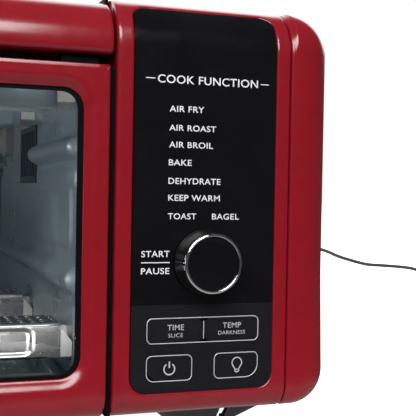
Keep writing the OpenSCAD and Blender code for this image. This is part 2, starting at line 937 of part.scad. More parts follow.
// Moulded plug with two flat blades, lying beside the coil
module plug() {
    color("#2b2c2e") {
        block([plug_x - 11, plug_x + 11], [72, 112], [0, 17]);
        block([plug_x - 5, plug_x + 5], [112, 124], [4, 13]);
    }
    color("silver")
        for (x = [plug_x - 6.4, plug_x + 6.4])
            block([x - 0.75, x + 0.75], [56, 72], [5.5, 11.5]);
}

top_cover();
base_pan();
back_panel();
left_end_cap();
right_end_cap();
control_housing();
panel_lens();
button_panel();
button_trims();
panel_chassis();
display_module();
control_board();
encoder_body();
encoder_bushing();
encoder_shaft();
knob_skirt();
knob_ring();
knob_face();
time_button();
temp_button();
power_button();
light_button();
power_board();
front_bezel();
left_door_jamb();
right_door_jamb();
cavity_liner();
bay_divider();
insulation_blanket();
upper_element_front();
upper_element_rear();
lower_element_front();
lower_element_rear();
upper_reflectors();
lower_reflector_front();
lower_reflector_rear();
fan_blade();
fan_shaft();
fan_motor();
fan_grille();
lamp_bulb();
lamp_cover();
temperature_probe();
crumb_tray();
door_frame();
door_glass();
glass_gasket();
door_inner_frame();
handle_bar();
handle_posts();
hinge_pins();
foot_shells();
foot_pads();
wall_bumpers();
case_screws();
strain_relief();
cord_tube();
cord_coil();
plug();
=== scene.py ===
import json
import math
import bmesh
import bpy
import numpy as np
from mathutils import Matrix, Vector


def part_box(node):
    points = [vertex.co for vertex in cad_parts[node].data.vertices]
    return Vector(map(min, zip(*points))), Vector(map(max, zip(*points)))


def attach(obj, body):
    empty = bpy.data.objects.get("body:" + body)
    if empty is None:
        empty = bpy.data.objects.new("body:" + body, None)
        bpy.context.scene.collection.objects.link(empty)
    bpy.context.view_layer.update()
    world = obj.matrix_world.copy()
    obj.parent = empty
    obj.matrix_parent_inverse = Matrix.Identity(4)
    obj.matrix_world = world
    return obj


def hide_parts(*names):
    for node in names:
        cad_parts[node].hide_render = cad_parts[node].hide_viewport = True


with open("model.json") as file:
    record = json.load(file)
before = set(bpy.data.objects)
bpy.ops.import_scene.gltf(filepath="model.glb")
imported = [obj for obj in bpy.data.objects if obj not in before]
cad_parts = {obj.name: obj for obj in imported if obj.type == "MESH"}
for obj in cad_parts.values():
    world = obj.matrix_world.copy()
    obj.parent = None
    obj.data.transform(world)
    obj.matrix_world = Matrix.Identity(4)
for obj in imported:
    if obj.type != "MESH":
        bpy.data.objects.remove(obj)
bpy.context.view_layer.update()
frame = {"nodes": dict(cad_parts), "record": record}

# A wide countertop oven with a drop-down door and a control panel.
# Lengths here are in millimetres, in the CAD model's own frame, and become metres in makePiece.

mm = 0.001
quarter = math.pi / 2


def boxOf(nodeName):  # lowest and highest corner of a CAD node, in millimetres
    low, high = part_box(nodeName)
    return np.array(low) / mm, np.array(high) / mm


# ---- camera and light

view = {
    "place": (56.5, -544.5, 110.6),
    "yaw": 19.85,  # turned to the right
    "pitch": -1.02,  # looking slightly down
    "roll": 1.03,
    "lens": 77.46,
}


def makeCamera():
    yaw, pitch, roll = (math.radians(view[k]) for k in ("yaw", "pitch", "roll"))
    ahead = np.array([math.sin(yaw) * math.cos(pitch), math.cos(yaw) * math.cos(pitch), math.sin(pitch)])
    right = np.cross(ahead, [0, 0, 1])
    right /= np.linalg.norm(right)
    up = np.cross(right, ahead)
    right, up = right * math.cos(roll) + up * math.sin(roll), up * math.cos(roll) - right * math.sin(roll)
    place = Matrix(np.stack([right, up, -ahead], 1).tolist()).to_4x4()
    place.translation = [v * mm for v in view["place"]]
    data = bpy.data.cameras.new("camera")
    data.lens, data.sensor_width = view["lens"], 36
    data.clip_start, data.clip_end = 0.01, 50
    eye = bpy.data.objects.new("camera", data)
    bpy.context.scene.collection.objects.link(eye)
    eye.matrix_world = place
    bpy.context.scene.camera = eye


studio = {
    "seen": 1.0,  # brightness of the room where the camera sees it
    "dim": 0.06,  # brightness of most of the room as the oven sees it
    "behind": 3.2,  # and of the raised part of it behind the oven
    "below": 0.35,  # and of what lies under it
    # name: place, aim, width, height, power, and whether reflections show it
    "lamps": {
        "highBox": ((-300, -1430, 1090), (60, -180, 150), 1.56, 0.72, 47.0, True),
        "overhead": ((150, -100, 1600), (50, 0, 150), 1.6, 1.6, 11.0, False),
        "fill": ((1300, -900, 900), (100, 0, 100), 0.9, 0.9, 2.0, False),
        "insideLeft": ((-205, -60, 100), (137, -60, 90), 0.16, 0.10, 0.24, True),
        "lowCard": ((40, -395, -20), (70, -145, 42), 0.12, 0.07, 0.65, True),
    },
    "inside": ("lowCard",),  # lamps that light only the inside of the oven
}


insideOnly = bpy.data.collections.new("insideOnly")


def makeLamp(name, place, aim, width, height, power, shiny):
    place, aim = np.array(place, float) * mm, np.array(aim, float) * mm
    away = (place - aim) / np.linalg.norm(place - aim)
    data = bpy.data.lights.new(name, "AREA")
    data.shape, data.size, data.size_y, data.energy = "RECTANGLE", width, height, power
    lamp = bpy.data.objects.new(name, data)
    bpy.context.scene.collection.objects.link(lamp)
    side = np.cross([0, 0, 1], away)
    side /= np.linalg.norm(side)
    turn = Matrix(np.stack([side, np.cross(away, side), away], 1).tolist()).to_4x4()
    turn.translation = place.tolist()
    lamp.matrix_world = turn
    lamp.visible_glossy = shiny
    return lamp


def makeRoom():
    world = bpy.data.worlds.new("studio")
    bpy.context.scene.world = world
    world.use_nodes = True
    tree = world.node_tree
    sky = tree.nodes["Background"]
    sky.inputs["Color"].default_value = (1, 1, 1, 1)
    place = tree.nodes.new("ShaderNodeTexCoord")
    split = tree.nodes.new("ShaderNodeSeparateXYZ")
    tree.links.new(place.outputs["Generated"], split.inputs[0])

    def rising(axis, start, stop, low, high):  # smooth step along one direction
        ramp = tree.nodes.new("ShaderNodeMapRange")
        ramp.interpolation_type = "SMOOTHSTEP"
        for socket, value in (("From Min", start), ("From Max", stop), ("To Min", low), ("To Max", high)):
            ramp.inputs[socket].default_value = value
        tree.links.new(split.outputs[axis], ramp.inputs["Value"])
        return ramp.outputs["Result"]

    def joined(kind, first, second):
        node = tree.nodes.new("ShaderNodeMath")
        node.operation = kind
        tree.links.new(first, node.inputs[0])
        tree.links.new(second, node.inputs[1])
        return node.outputs[0]

    raised = joined("MULTIPLY", rising("Y", 0.4, 0.65, 0, studio["behind"]), rising("Z", 0.12, 0.3, 0, 1))
    whole = joined("ADD", joined("ADD", raised, rising("Z", -0.6, -0.2, studio["below"], 0)),
                   rising("Z", -2, 2, studio["dim"], studio["dim"]))
    seen = tree.nodes.new("ShaderNodeLightPath")
    mix = tree.nodes.new("ShaderNodeMix")
    tree.links.new(seen.outputs["Is Camera Ray"], mix.inputs["Factor"])
    tree.links.new(whole, mix.inputs["A"])
    mix.inputs["B"].default_value = studio["seen"]
    tree.links.new(mix.outputs["Result"], sky.inputs["Strength"])


def makeFloor():
    mesh = bpy.data.meshes.new("floor")
    mesh.from_pydata([(-6, -0.25, 0), (6, -0.25, 0), (6, 8, 0), (-6, 8, 0)], [], [(0, 1, 2, 3)])
    floor = bpy.data.objects.new("floor", mesh)
    bpy.context.scene.collection.objects.link(floor)
    paper = bpy.data.materials.new("paper")
    paper.use_nodes = True
    shader = paper.node_tree.nodes["Principled BSDF"]
    shader.inputs["Base Color"].default_value = (0.93, 0.93, 0.93, 1)
    shader.inputs["Roughness"].default_value = 0.9
    shader.inputs["Specular IOR Level"].default_value = 0.1
    shader.inputs["Emission Color"].default_value = (1, 1, 1, 1)
    seen = paper.node_tree.nodes.new("ShaderNodeLightPath")
    paper.node_tree.links.new(seen.outputs["Is Camera Ray"], shader.inputs["Emission Strength"])
    mesh.materials.append(paper)
    floor.visible_glossy = False


def makeStudio():
    bpy.context.scene.view_settings.view_transform = "Standard"
    bpy.context.scene.view_settings.look = "None"
    makeRoom()
    for name, values in studio["lamps"].items():
        lamp = makeLamp(name, *values)
        if name in studio["inside"]:
            lamp.light_linking.receiver_collection = insideOnly
    makeFloor()


makeCamera()
makeStudio()
print("camera and light done")

# ---- finishes

# base colour, how far it varies, roughness, its spread, grain size in mm, grain depth in mm,
# stretch of the grain along X, Y and Z, and settings on the shader itself
finishes = {
    "redEnamel": dict(base=(0.185, 0.0050, 0.0105), vary=0.05, rough=0.20, spread=0.03, grain=1.4,
                      depth=0.004),
    "blackGlass": dict(base=(0.0032, 0.0030, 0.0042), vary=0.2, rough=0.12, spread=0.04, grain=3.0,
                       depth=0.001),
    "blackSatin": dict(base=(0.0052, 0.0048, 0.0068), spec=0.25, vary=0.15, rough=0.42, spread=0.05,
                       grain=0.35, depth=0.01),
    "knobBlack": dict(base=(0.0035, 0.0035, 0.004), vary=0.2, rough=0.30, spread=0.05, grain=0.5,
                      depth=0.003),
    "chrome": dict(base=(0.80, 0.80, 0.82), vary=0.03, rough=0.07, spread=0.03, grain=2.0, depth=0.001,
                   metal=1.0),
    "silverPrint": dict(base=(0.47, 0.47, 0.49), vary=0.06, rough=0.35, spread=0.05, grain=0.5, depth=0.002,
                        metal=0.3),
    "coatedSteel": dict(base=(0.36, 0.39, 0.40), vary=0.10, rough=0.27, spread=0.10, grain=7.0, depth=0.02,
                        metal=0.9),
    "brightSteel": dict(base=(0.66, 0.66, 0.64), vary=0.08, rough=0.25, spread=0.08, grain=0.8, depth=0.006,
                        metal=1.0, stretch=(0.08, 1, 1)),
    "blackSteel": dict(base=(0.020, 0.020, 0.022), vary=0.15, rough=0.45, spread=0.08, grain=0.5, depth=0.01),
    "trayEnamel": dict(base=(0.10, 0.115, 0.12), vary=0.12, rough=0.32, spread=0.08, grain=2.0, depth=0.01,
                       metal=0.6),
    "aluminium": dict(base=(0.60, 0.61, 0.62), vary=0.06, rough=0.32, spread=0.08, grain=0.6, depth=0.004,
                      metal=1.0),
    "motorGrey": dict(base=(0.13, 0.135, 0.14), vary=0.12, rough=0.42, spread=0.08, grain=0.8, depth=0.01,
                      metal=0.7),
    "brass": dict(base=(0.62, 0.44, 0.18), vary=0.08, rough=0.3, spread=0.08, grain=0.6, depth=0.004,
                  metal=1.0),
    "circuitGreen": dict(base=(0.010, 0.080, 0.030), vary=0.3, rough=0.35, spread=0.08, grain=1.2,
                         depth=0.02),
    "displayDark": dict(base=(0.006, 0.008, 0.012), vary=0.2, rough=0.15, spread=0.03, grain=2.0,
                        depth=0.001),
    "quartz": dict(base=(0.55, 0.52, 0.47), vary=0.10, rough=0.35, spread=0.08, grain=1.5, depth=0.01),
    "glassFibre": dict(base=(0.56, 0.50, 0.34), vary=0.25, rough=0.95, spread=0.03, grain=0.9, depth=0.5,
                       stretch=(0.3, 1, 1)),
    "blackRubber": dict(base=(0.013, 0.013, 0.014), vary=0.2, rough=0.62, spread=0.08, grain=0.5, depth=0.02),
    "footPlastic": dict(base=(0.012, 0.012, 0.013), vary=0.2, rough=0.5, spread=0.08, grain=0.4, depth=0.02),
    "cordJacket": dict(base=(0.045, 0.044, 0.042), vary=0.12, rough=0.48, spread=0.07, grain=0.5,
                       depth=0.015),
    # deepBlackAndShade: near-black with almost no specular. It is the real black of the glass gasket and
    # inner door frame, and painted shade on the bezel, jambs and handle posts in the gap under the handle
    "deepBlackAndShade": dict(base=(0.003, 0.003, 0.0035), spec=0.03, vary=0.15, rough=0.5, spread=0.06, grain=0.5,
                      depth=0.01),
    "wallSteel": dict(base=(0.30, 0.355, 0.40), vary=0.16, rough=0.33, spread=0.10, grain=9.0, depth=0.35,
                      metal=0.62),
    "troughSteel": dict(base=(0.50, 0.50, 0.49), vary=0.08, rough=0.28, spread=0.08, grain=1.5, depth=0.01,
                        metal=0.85, stretch=(0.2, 1, 1)),
    "paleBracket": dict(base=(0.52, 0.51, 0.47), vary=0.06, rough=0.5, spread=0.08, grain=1.0, depth=0.01,
                        metal=0.1),
    "guardSteel": dict(base=(0.16, 0.16, 0.16), vary=0.15, rough=0.24, spread=0.08, grain=1.0, depth=0.01,
                       metal=0.9),
    "whiteInk": dict(base=(0.58, 0.58, 0.60), vary=0.04, rough=0.5, spread=0.05, grain=0.3, depth=0.002),
}


def makeFinish(name):
    f = {"metal": 0.0, "spec": 0.5, "stretch": (1, 1, 1), **finishes[name]}
    material = bpy.data.materials.new(name)
    material.use_nodes = True
    tree = material.node_tree
    shader = tree.nodes["Principled BSDF"]
    shader.inputs["Metallic"].default_value = f["metal"]
    shader.inputs["Specular IOR Level"].default_value = f["spec"]
    place = tree.nodes.new("ShaderNodeTexCoord")
    turn = tree.nodes.new("ShaderNodeMapping")
    turn.inputs["Scale"].default_value = f["stretch"]
    tree.links.new(place.outputs["Object"], turn.inputs["Vector"])

    def noise(size, detail):  # cloudy noise with features of that size in millimetres
        n = tree.nodes.new("ShaderNodeTexNoise")
        n.inputs["Scale"].default_value = 1 / (size * mm)
        n.inputs["Detail"].default_value = detail
        tree.links.new(turn.outputs["Vector"], n.inputs["Vector"])
        return n.outputs["Fac"]

    def spreadOver(source, low, high):  # the middle of a noise's range drawn out from low to high
        m = tree.nodes.new("ShaderNodeMapRange")
        for socket, value in (("From Min", 0.3), ("From Max", 0.7), ("To Min", low), ("To Max", high)):
            m.inputs[socket].default_value = value
        tree.links.new(source, m.inputs["Value"])
        return m.outputs["Result"]

    mix = tree.nodes.new("ShaderNodeMix")
    mix.data_type = "RGBA"
    mix.inputs["A"].default_value = (*[c * (1 - f["vary"]) for c in f["base"]], 1)
    mix.inputs["B"].default_value = (*[min(1, c * (1 + f["vary"])) for c in f["base"]], 1)
    tree.links.new(spreadOver(noise(max(12, f["grain"] * 8), 4), 0, 1), mix.inputs["Factor"])
    tree.links.new(mix.outputs["Result"], shader.inputs["Base Color"])
    tree.links.new(
        spreadOver(noise(f["grain"] * 4, 5), f["rough"] - f["spread"], f["rough"] + f["spread"]),
        shader.inputs["Roughness"],
    )
    bump = tree.nodes.new("ShaderNodeBump")
    bump.inputs["Distance"].default_value = f["depth"] * mm
    tree.links.new(noise(f["grain"], 3), bump.inputs["Height"])
    tree.links.new(bump.outputs["Normal"], shader.inputs["Normal"])
    return material


def makeGlass(name, tint, alpha, rough):  # thin clear glass: see-through by alpha, with its own gloss
    material = makeFinish("displayDark")
    material.name = name
    shader = material.node_tree.nodes["Principled BSDF"]
    for link in list(shader.inputs["Base Color"].links) + list(shader.inputs["Normal"].links):
        material.node_tree.links.remove(link)
    shader.inputs["Base Color"].default_value = (*tint, 1)
    shader.inputs["Alpha"].default_value = alpha
    for link in list(shader.inputs["Roughness"].links):
        material.node_tree.links.remove(link)
    shader.inputs["Roughness"].default_value = rough
    return material


paint = {name: makeFinish(name) for name in finishes}
paint["windowGlass"] = makeGlass("windowGlass", (0.015, 0.03, 0.035), 0.08, 0.03)
paint["lampGlass"] = makeGlass("lampGlass", (0.6, 0.6, 0.56), 0.45, 0.12)

finishOfSlot = {
    "red_paint": "redEnamel", "black_gloss": "blackGlass", "black_satin": "blackSatin",
    "silver_trim": "chrome",
    "plain_steel": "coatedSteel", "black_steel": "blackSteel", "tray_enamel": "trayEnamel",
    "aluminium": "aluminium", "motor_metal": "motorGrey", "brass": "brass", "circuit_board": "circuitGreen",
    "display_glass": "displayDark", "door_glass": "windowGlass", "lamp_glass": "lampGlass",
    "quartz": "quartz",
    "glass_fibre": "glassFibre", "black_rubber": "blackRubber", "foot_plastic": "footPlastic",
    "cord_rubber": "cordJacket",
}
finishOfNode = {
    "button_trims": "silverPrint", "case_screws": "aluminium", "encoder_shaft": "aluminium",
    "hinge_pins": "chrome",
    "temperature_probe": "brightSteel", "glass_gasket": "deepBlackAndShade", "door_inner_frame": "deepBlackAndShade",
    # front_bezel, both jambs and handle_posts sit in the gap under the handle. Their near-black is painted
    # shade standing in for the shadow there. The glass gasket and inner door frame are really black
    "front_bezel": "deepBlackAndShade", "left_door_jamb": "deepBlackAndShade", "right_door_jamb": "deepBlackAndShade",
    "handle_posts": "deepBlackAndShade",
}


def finishNodes():
    for row in frame["record"]["subparts"]:
        node = frame["nodes"][row["node"]]
        chosen = paint[finishOfNode.get(row["node"], finishOfSlot[row["material_slot"]])]
        node.data.materials.clear()
        node.data.materials.append(chosen)


finishNodes()
print("finishes done")

# ---- shared shapes


def gridFaces(rows, cols, closeCols=False, flip=False):
    # four-sided faces between neighbours on a grid of points, stored row after row
    r = np.arange(rows - 1)[:, None]
    c = np.arange(cols if closeCols else cols - 1)[None, :]
    next = (c + 1) % cols
    quads = np.stack([r * cols + c, r * cols + next, (r + 1) * cols + next, (r + 1) * cols + c], -1)
    quads = quads.reshape(-1, 4)
    return quads[:, ::-1] if flip else quads


def gridPart(points, closeCols=False, flip=False):
    rows, cols = points.shape[:2]
    return points.reshape(-1, 3), gridFaces(rows, cols, closeCols, flip).tolist()


def slabParts(front, rear):
    # a closed slab between two grids of points, the front one seen from -Y with its rows going up
    rows, cols = front.shape[:2]
    outer = [gridPart(front), gridPart(rear, flip=True)]
    loop = [(0, c) for c in range(cols)] + [(r, cols - 1) for r in range(1, rows)]
    loop += [(rows - 1, c) for c in range(cols - 2, -1, -1)] + [(r, 0) for r in range(rows - 2, -1, -1)]
    ring = np.array(loop)
    wall = np.stack([rear[ring[:, 0], ring[:, 1]], front[ring[:, 0], ring[:, 1]]])
    return outer + [gridPart(wall)]


def makePiece(name, body, finish, parts, replaced=(), thick=0, bevel=0, sharp=35):
    # joins the parts into one mesh in metres, on its CAD body; parts that share an edge are welded
    points, faces, count = [], [], 0
    for partPoints, partFaces in parts:
        points.append(np.asarray(partPoints, float).reshape(-1, 3))
        faces += [[i + count for i in face] for face in partFaces]
        count += len(points[-1])
    mesh = bpy.data.meshes.new(name)
    mesh.from_pydata((np.concatenate(points) * mm).tolist(), [], faces)
    work = bmesh.new()
    work.from_mesh(mesh)
    bmesh.ops.remove_doubles(work, verts=work.verts, dist=0.002 * mm)
    bmesh.ops.dissolve_degenerate(work, edges=work.edges, dist=0.0005 * mm)
    work.to_mesh(mesh)
    work.free()
    mesh.polygons.foreach_set("use_smooth", np.ones(len(mesh.polygons), bool))
    mesh.set_sharp_from_angle(angle=math.radians(sharp))
    mesh.materials.append(paint[finish])
    piece = bpy.data.objects.new(name, mesh)
    bpy.context.scene.collection.objects.link(piece)
    if thick:
        wall = piece.modifiers.new("wall", "SOLIDIFY")
        wall.thickness, wall.offset = thick * mm, -1
    if bevel:
        edge = piece.modifiers.new("edge", "BEVEL")
        edge.width, edge.segments, edge.angle_limit = bevel * mm, 2, math.radians(50)
    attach(piece, body)
    if replaced:
        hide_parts(*replaced)
    return piece


def arc(centre, radius, start, end, steps):
    # points of a circle's arc, angles in degrees
    t = np.radians(np.linspace(start, end, steps + 1))
    return np.stack([centre[0] + radius * np.cos(t), centre[1] + radius * np.sin(t)], 1)


def onSection(section, x, a, inset):
    # a point at width x, height a along the body's side section, and inset below its surface: the section
    # is upright at the front and turns through an arc of its own radius at the top and at the bottom
    x, a, inset = np.broadcast_arrays(np.asarray(x, float), np.asarray(a, float), np.asarray(inset, float))
    high, low = section["high"] - section["rHigh"], section["low"] + section["rLow"]
    up = np.clip((a - high) / section["rHigh"], 0, quarter)
    down = np.clip((low - a) / section["rLow"], 0, quarter)
    radius = np.where(up > 0, section["rHigh"], np.where(down > 0, section["rLow"], 0))
    beyond = np.maximum(a - high - section["rHigh"] * quarter, 0)
    beyond = beyond + np.maximum(low - a - section["rLow"] * quarter, 0)
    y = section["front"] + radius - (radius - inset) * np.cos(up - down) + beyond
    z = np.clip(a, low, high) + (radius - inset) * np.sin(up - down)
    return np.stack([x, y, z], -1)


def ends(section, back):  # the section's length at its two rear ends
    low = section["low"] + section["rLow"] * (2 - quarter) - (back - section["front"])
    high = section["high"] - section["rHigh"] * (2 - quarter) + (back - section["front"])
    return low, high


def roundedOutline(x, a, radii, sides=(60, 130), corner=10):
    # a rectangle with a radius of its own at each corner, counterclockwise from the low left one
    (x0, x1), (a0, a1) = x, a
    centres = [(x0 + radii[0], a0 + radii[0]), (x1 - radii[1], a0 + radii[1]),
               (x1 - radii[2], a1 - radii[2]), (x0 + radii[3], a1 - radii[3])]
    arcs = [arc(centres[k], radii[k], 180 + 90 * k, 270 + 90 * k, corner) for k in range(4)]
    loop = []
    for k in range(4):
        between = np.linspace(arcs[k][-1], arcs[(k + 1) % 4][0], sides[k % 2] + 1)[1:-1]
        loop += [arcs[k], between]
    return np.concatenate(loop)


def edgeStrip(section, x, inward, fillet, aRange, back, count):
    # the rounded edge at one end of a shell, and the flat wall behind it
    a = np.linspace(*aRange, count + 1)[None, :]
    t = np.linspace(0, quarter, 6)[:, None]
    turn = onSection(section, x + inward * fillet * (1 - np.sin(t)), a, fillet * (1 - np.cos(t)))
    low, high = section["low"] + section["rLow"], section["high"] - section["rHigh"]
    wallZ = np.interp(a[0], [aRange[0], low, high, aRange[1]],
                      [section["low"] + fillet, low, high, section["high"] - fillet])
    rear = np.stack([np.full_like(wallZ, x), np.full_like(wallZ, back), wallZ], 1)
    share = np.linspace(0, 1, 5)[1:, None, None]
    wall = turn[-1][None] * (1 - share) + rear[None] * share
    return gridPart(np.concatenate([turn, wall]), flip=inward < 0)


def shellFront(section, x, back, fillet, hole, lip, steps=10, sides=(60, 130), border=0):
    # the front of a shell rolled over its section, with a rounded opening: rings go from the shell's edge
    # to the opening, and then down the opening's lip, a list of (distance outside it, depth)
    aRange = ends(section, back)
    outer = roundedOutline((x[0] + fillet, x[1] - fillet), aRange, (0, 0, 0, 0), sides)

    def ring(grow):
        x, a = ((low - grow, high + grow) for low, high in (hole["x"], hole["a"]))
        return roundedOutline(x, a, [r + grow for r in hole["radii"]], sides)

    first, rings = ring(lip[0][0]), []
    if border:  # close rings over the bent upper and lower edges
        bent = aRange[1] - (section["high"] - section["rHigh"]) + 0.4
        inner = roundedOutline((x[0] + fillet + border, x[1] - fillet - border),
                               (aRange[0] + border, aRange[1] - bent), (0, 0, 0, 0), sides)
        rings = [outer + (inner - outer) * k / 14 for k in range(14)]
        outer = inner
    rings += [outer + (first - outer) * k / steps for k in range(steps)]
    depth = np.array([0.0] * len(rings) + [d for _, d in lip])[:, None]
    rings += [ring(grow) for grow, _ in lip]
    flat = np.stack(rings)
    parts = [gridPart(onSection(section, flat[..., 0], flat[..., 1], depth), closeCols=True)]
    parts.append(edgeStrip(section, x[0], 1, fillet, aRange, back, sides[1]))
    parts.append(edgeStrip(section, x[1], -1, fillet, aRange, back, sides[1]))
    return parts


def turnedParts(centre, profile, steps=128, toRear=False):
    # a profile of (radius, distance in front of the centre) turned about an axis along Y
    r, d = np.array(profile, float).T
    t = np.linspace(0, 2 * math.pi, steps, endpoint=False)[None, :]
    d = -d if toRear else d
    points = np.stack([centre[0] + r[:, None] * np.cos(t), centre[1] - d[:, None] + 0 * t,
                       centre[2] + r[:, None] * np.sin(t)], -1)
    return [gridPart(points, closeCols=True, flip=True)]


def sweptBar(profile, x, fillet):
    # a closed profile in Y and Z carried along X, drawn in along its own normals at both ends
    forward = np.roll(profile, -1, 0) - np.roll(profile, 1, 0)
    normal = np.stack([forward[:, 1], -forward[:, 0]], 1)
    normal /= np.linalg.norm(normal, axis=1)[:, None]
    t = np.linspace(0, quarter, 6)
    between = np.linspace(x[0] + fillet, x[1] - fillet, 8)[1:-1]
    place = np.concatenate([x[0] + fillet * (1 - np.sin(t))[::-1], between, x[1] - fillet * (1 - np.sin(t))])
    inset = np.concatenate([fillet * (1 - np.cos(t))[::-1], np.zeros(6), fillet * (1 - np.cos(t))])
    outline = profile[None] - normal[None] * inset[:, None, None]
    points = np.concatenate([np.broadcast_to(place[:, None, None], outline.shape[:2] + (1,)), outline], -1)
    count = len(profile)
    last = (len(place) - 1) * count
    caps = [list(range(count))[::-1], list(range(last, last + count))]
    return points, caps


def closedBar(profile, x, fillet):
    points, caps = sweptBar(profile, x, fillet)
    flat, faces = gridPart(points, closeCols=True)
    return [(flat, faces + caps)]


# ---- housing, panel and end caps

houseLow, houseHigh = boxOf("control_housing")
doorLow, doorHigh = boxOf("door_frame")
lensLow, lensHigh = boxOf("panel_lens")
keysLow, keysHigh = boxOf("button_panel")
capLow, capHigh = boxOf("right_end_cap")

bodySection = {"front": houseLow[1], "low": houseLow[2], "high": houseHigh[2], "rHigh": 22.0, "rLow": 12.0}
panel = {
    "corner": 7.0,
    "margin": 0.15,  # gap round the black panel
    "lip": 1.1,  # radius of the housing's edge at the panel
    "fillet": 1.5,  # radius of the housing's upright edges
    "depth": 0.1,  # of the panel's face behind the housing's
    "thick": 2.3,
}


def alongSection(z):  # length along the section at a height on the top arc
    straight = bodySection["high"] - bodySection["rHigh"]
    return straight + bodySection["rHigh"] * math.asin((z - straight) / bodySection["rHigh"])


panelX = (lensLow[0] - panel["margin"], lensHigh[0] + panel["margin"])
panelA = (keysLow[2] - panel["margin"], alongSection(lensHigh[2] + panel["margin"]))


def makeHousing():  # a shell rolled over the body's section, with a rounded edge round the panel's opening
    lipTurn = np.linspace(0, quarter, 6)
    lip = [(panel["lip"] * (1 - math.sin(t)), panel["lip"] * (1 - math.cos(t))) for t in lipTurn] + [(0, 2.4)]
    hole = {"x": panelX, "a": panelA, "radii": [panel["corner"]] * 4}
    parts = shellFront(bodySection, (houseLow[0], houseHigh[0]), houseHigh[1], panel["fillet"], hole, lip)
    makePiece("housingShell", "casing", "redEnamel", parts, ["control_housing"], thick=2.2)


def panelGrid(x, a, rLow, rHigh, depth, rows=90, cols=30):
    # rows across the panel, each as wide as the rounded corners leave it
    middle, half = (x[0] + x[1]) / 2, (x[1] - x[0]) / 2
    t = np.linspace(0, quarter, 13)
    parts = []
    if rLow:
        parts.append(np.stack([a[0] + rLow * (1 - np.cos(t)), half - rLow * (1 - np.sin(t))], 1)[:-1])
    parts.append(np.stack([np.linspace(a[0] + rLow, a[1] - rHigh, rows), np.full(rows, half)], 1))
    if rHigh:
        parts.append(np.stack([a[1] - rHigh * (1 - np.sin(t)), half - rHigh * (1 - np.cos(t))], 1)[1:])
    a, width = np.concatenate(parts).T
    across = np.linspace(-1, 1, cols)[None, :]
    return onSection(bodySection, middle + across * width[:, None], a[:, None], depth)


def makeLens():  # the upper black panel, a slab that follows the section over the top edge
    x = (lensLow[0], lensHigh[0])
    a = (lensLow[2], panelA[1] - panel["margin"])
    corner = panel["corner"] - panel["margin"]
    near, far = (panelGrid(x, a, 0, corner, panel["depth"] + deep) for deep in (0, panel["thick"]))
    parts = slabParts(near, far)
    makePiece("panelLens", "casing", "blackGlass", parts, ["panel_lens"], bevel=0.25)


endCap = {
    "rTop": 20.0, "rLow": 17.0,  # corners seen from the front
    "frontTop": 22.0, "frontCorner": 18.5, "frontSide": 18.0, "frontLow": 12.0,  # rounding of the front edge
    "rear": 8.0, "lip": 1.2, "wall": 2.3,
    "vents": {"rows": ((60, 96), (106, 142)), "first": -20, "pitch": 10, "width": 5, "count": 10},
}


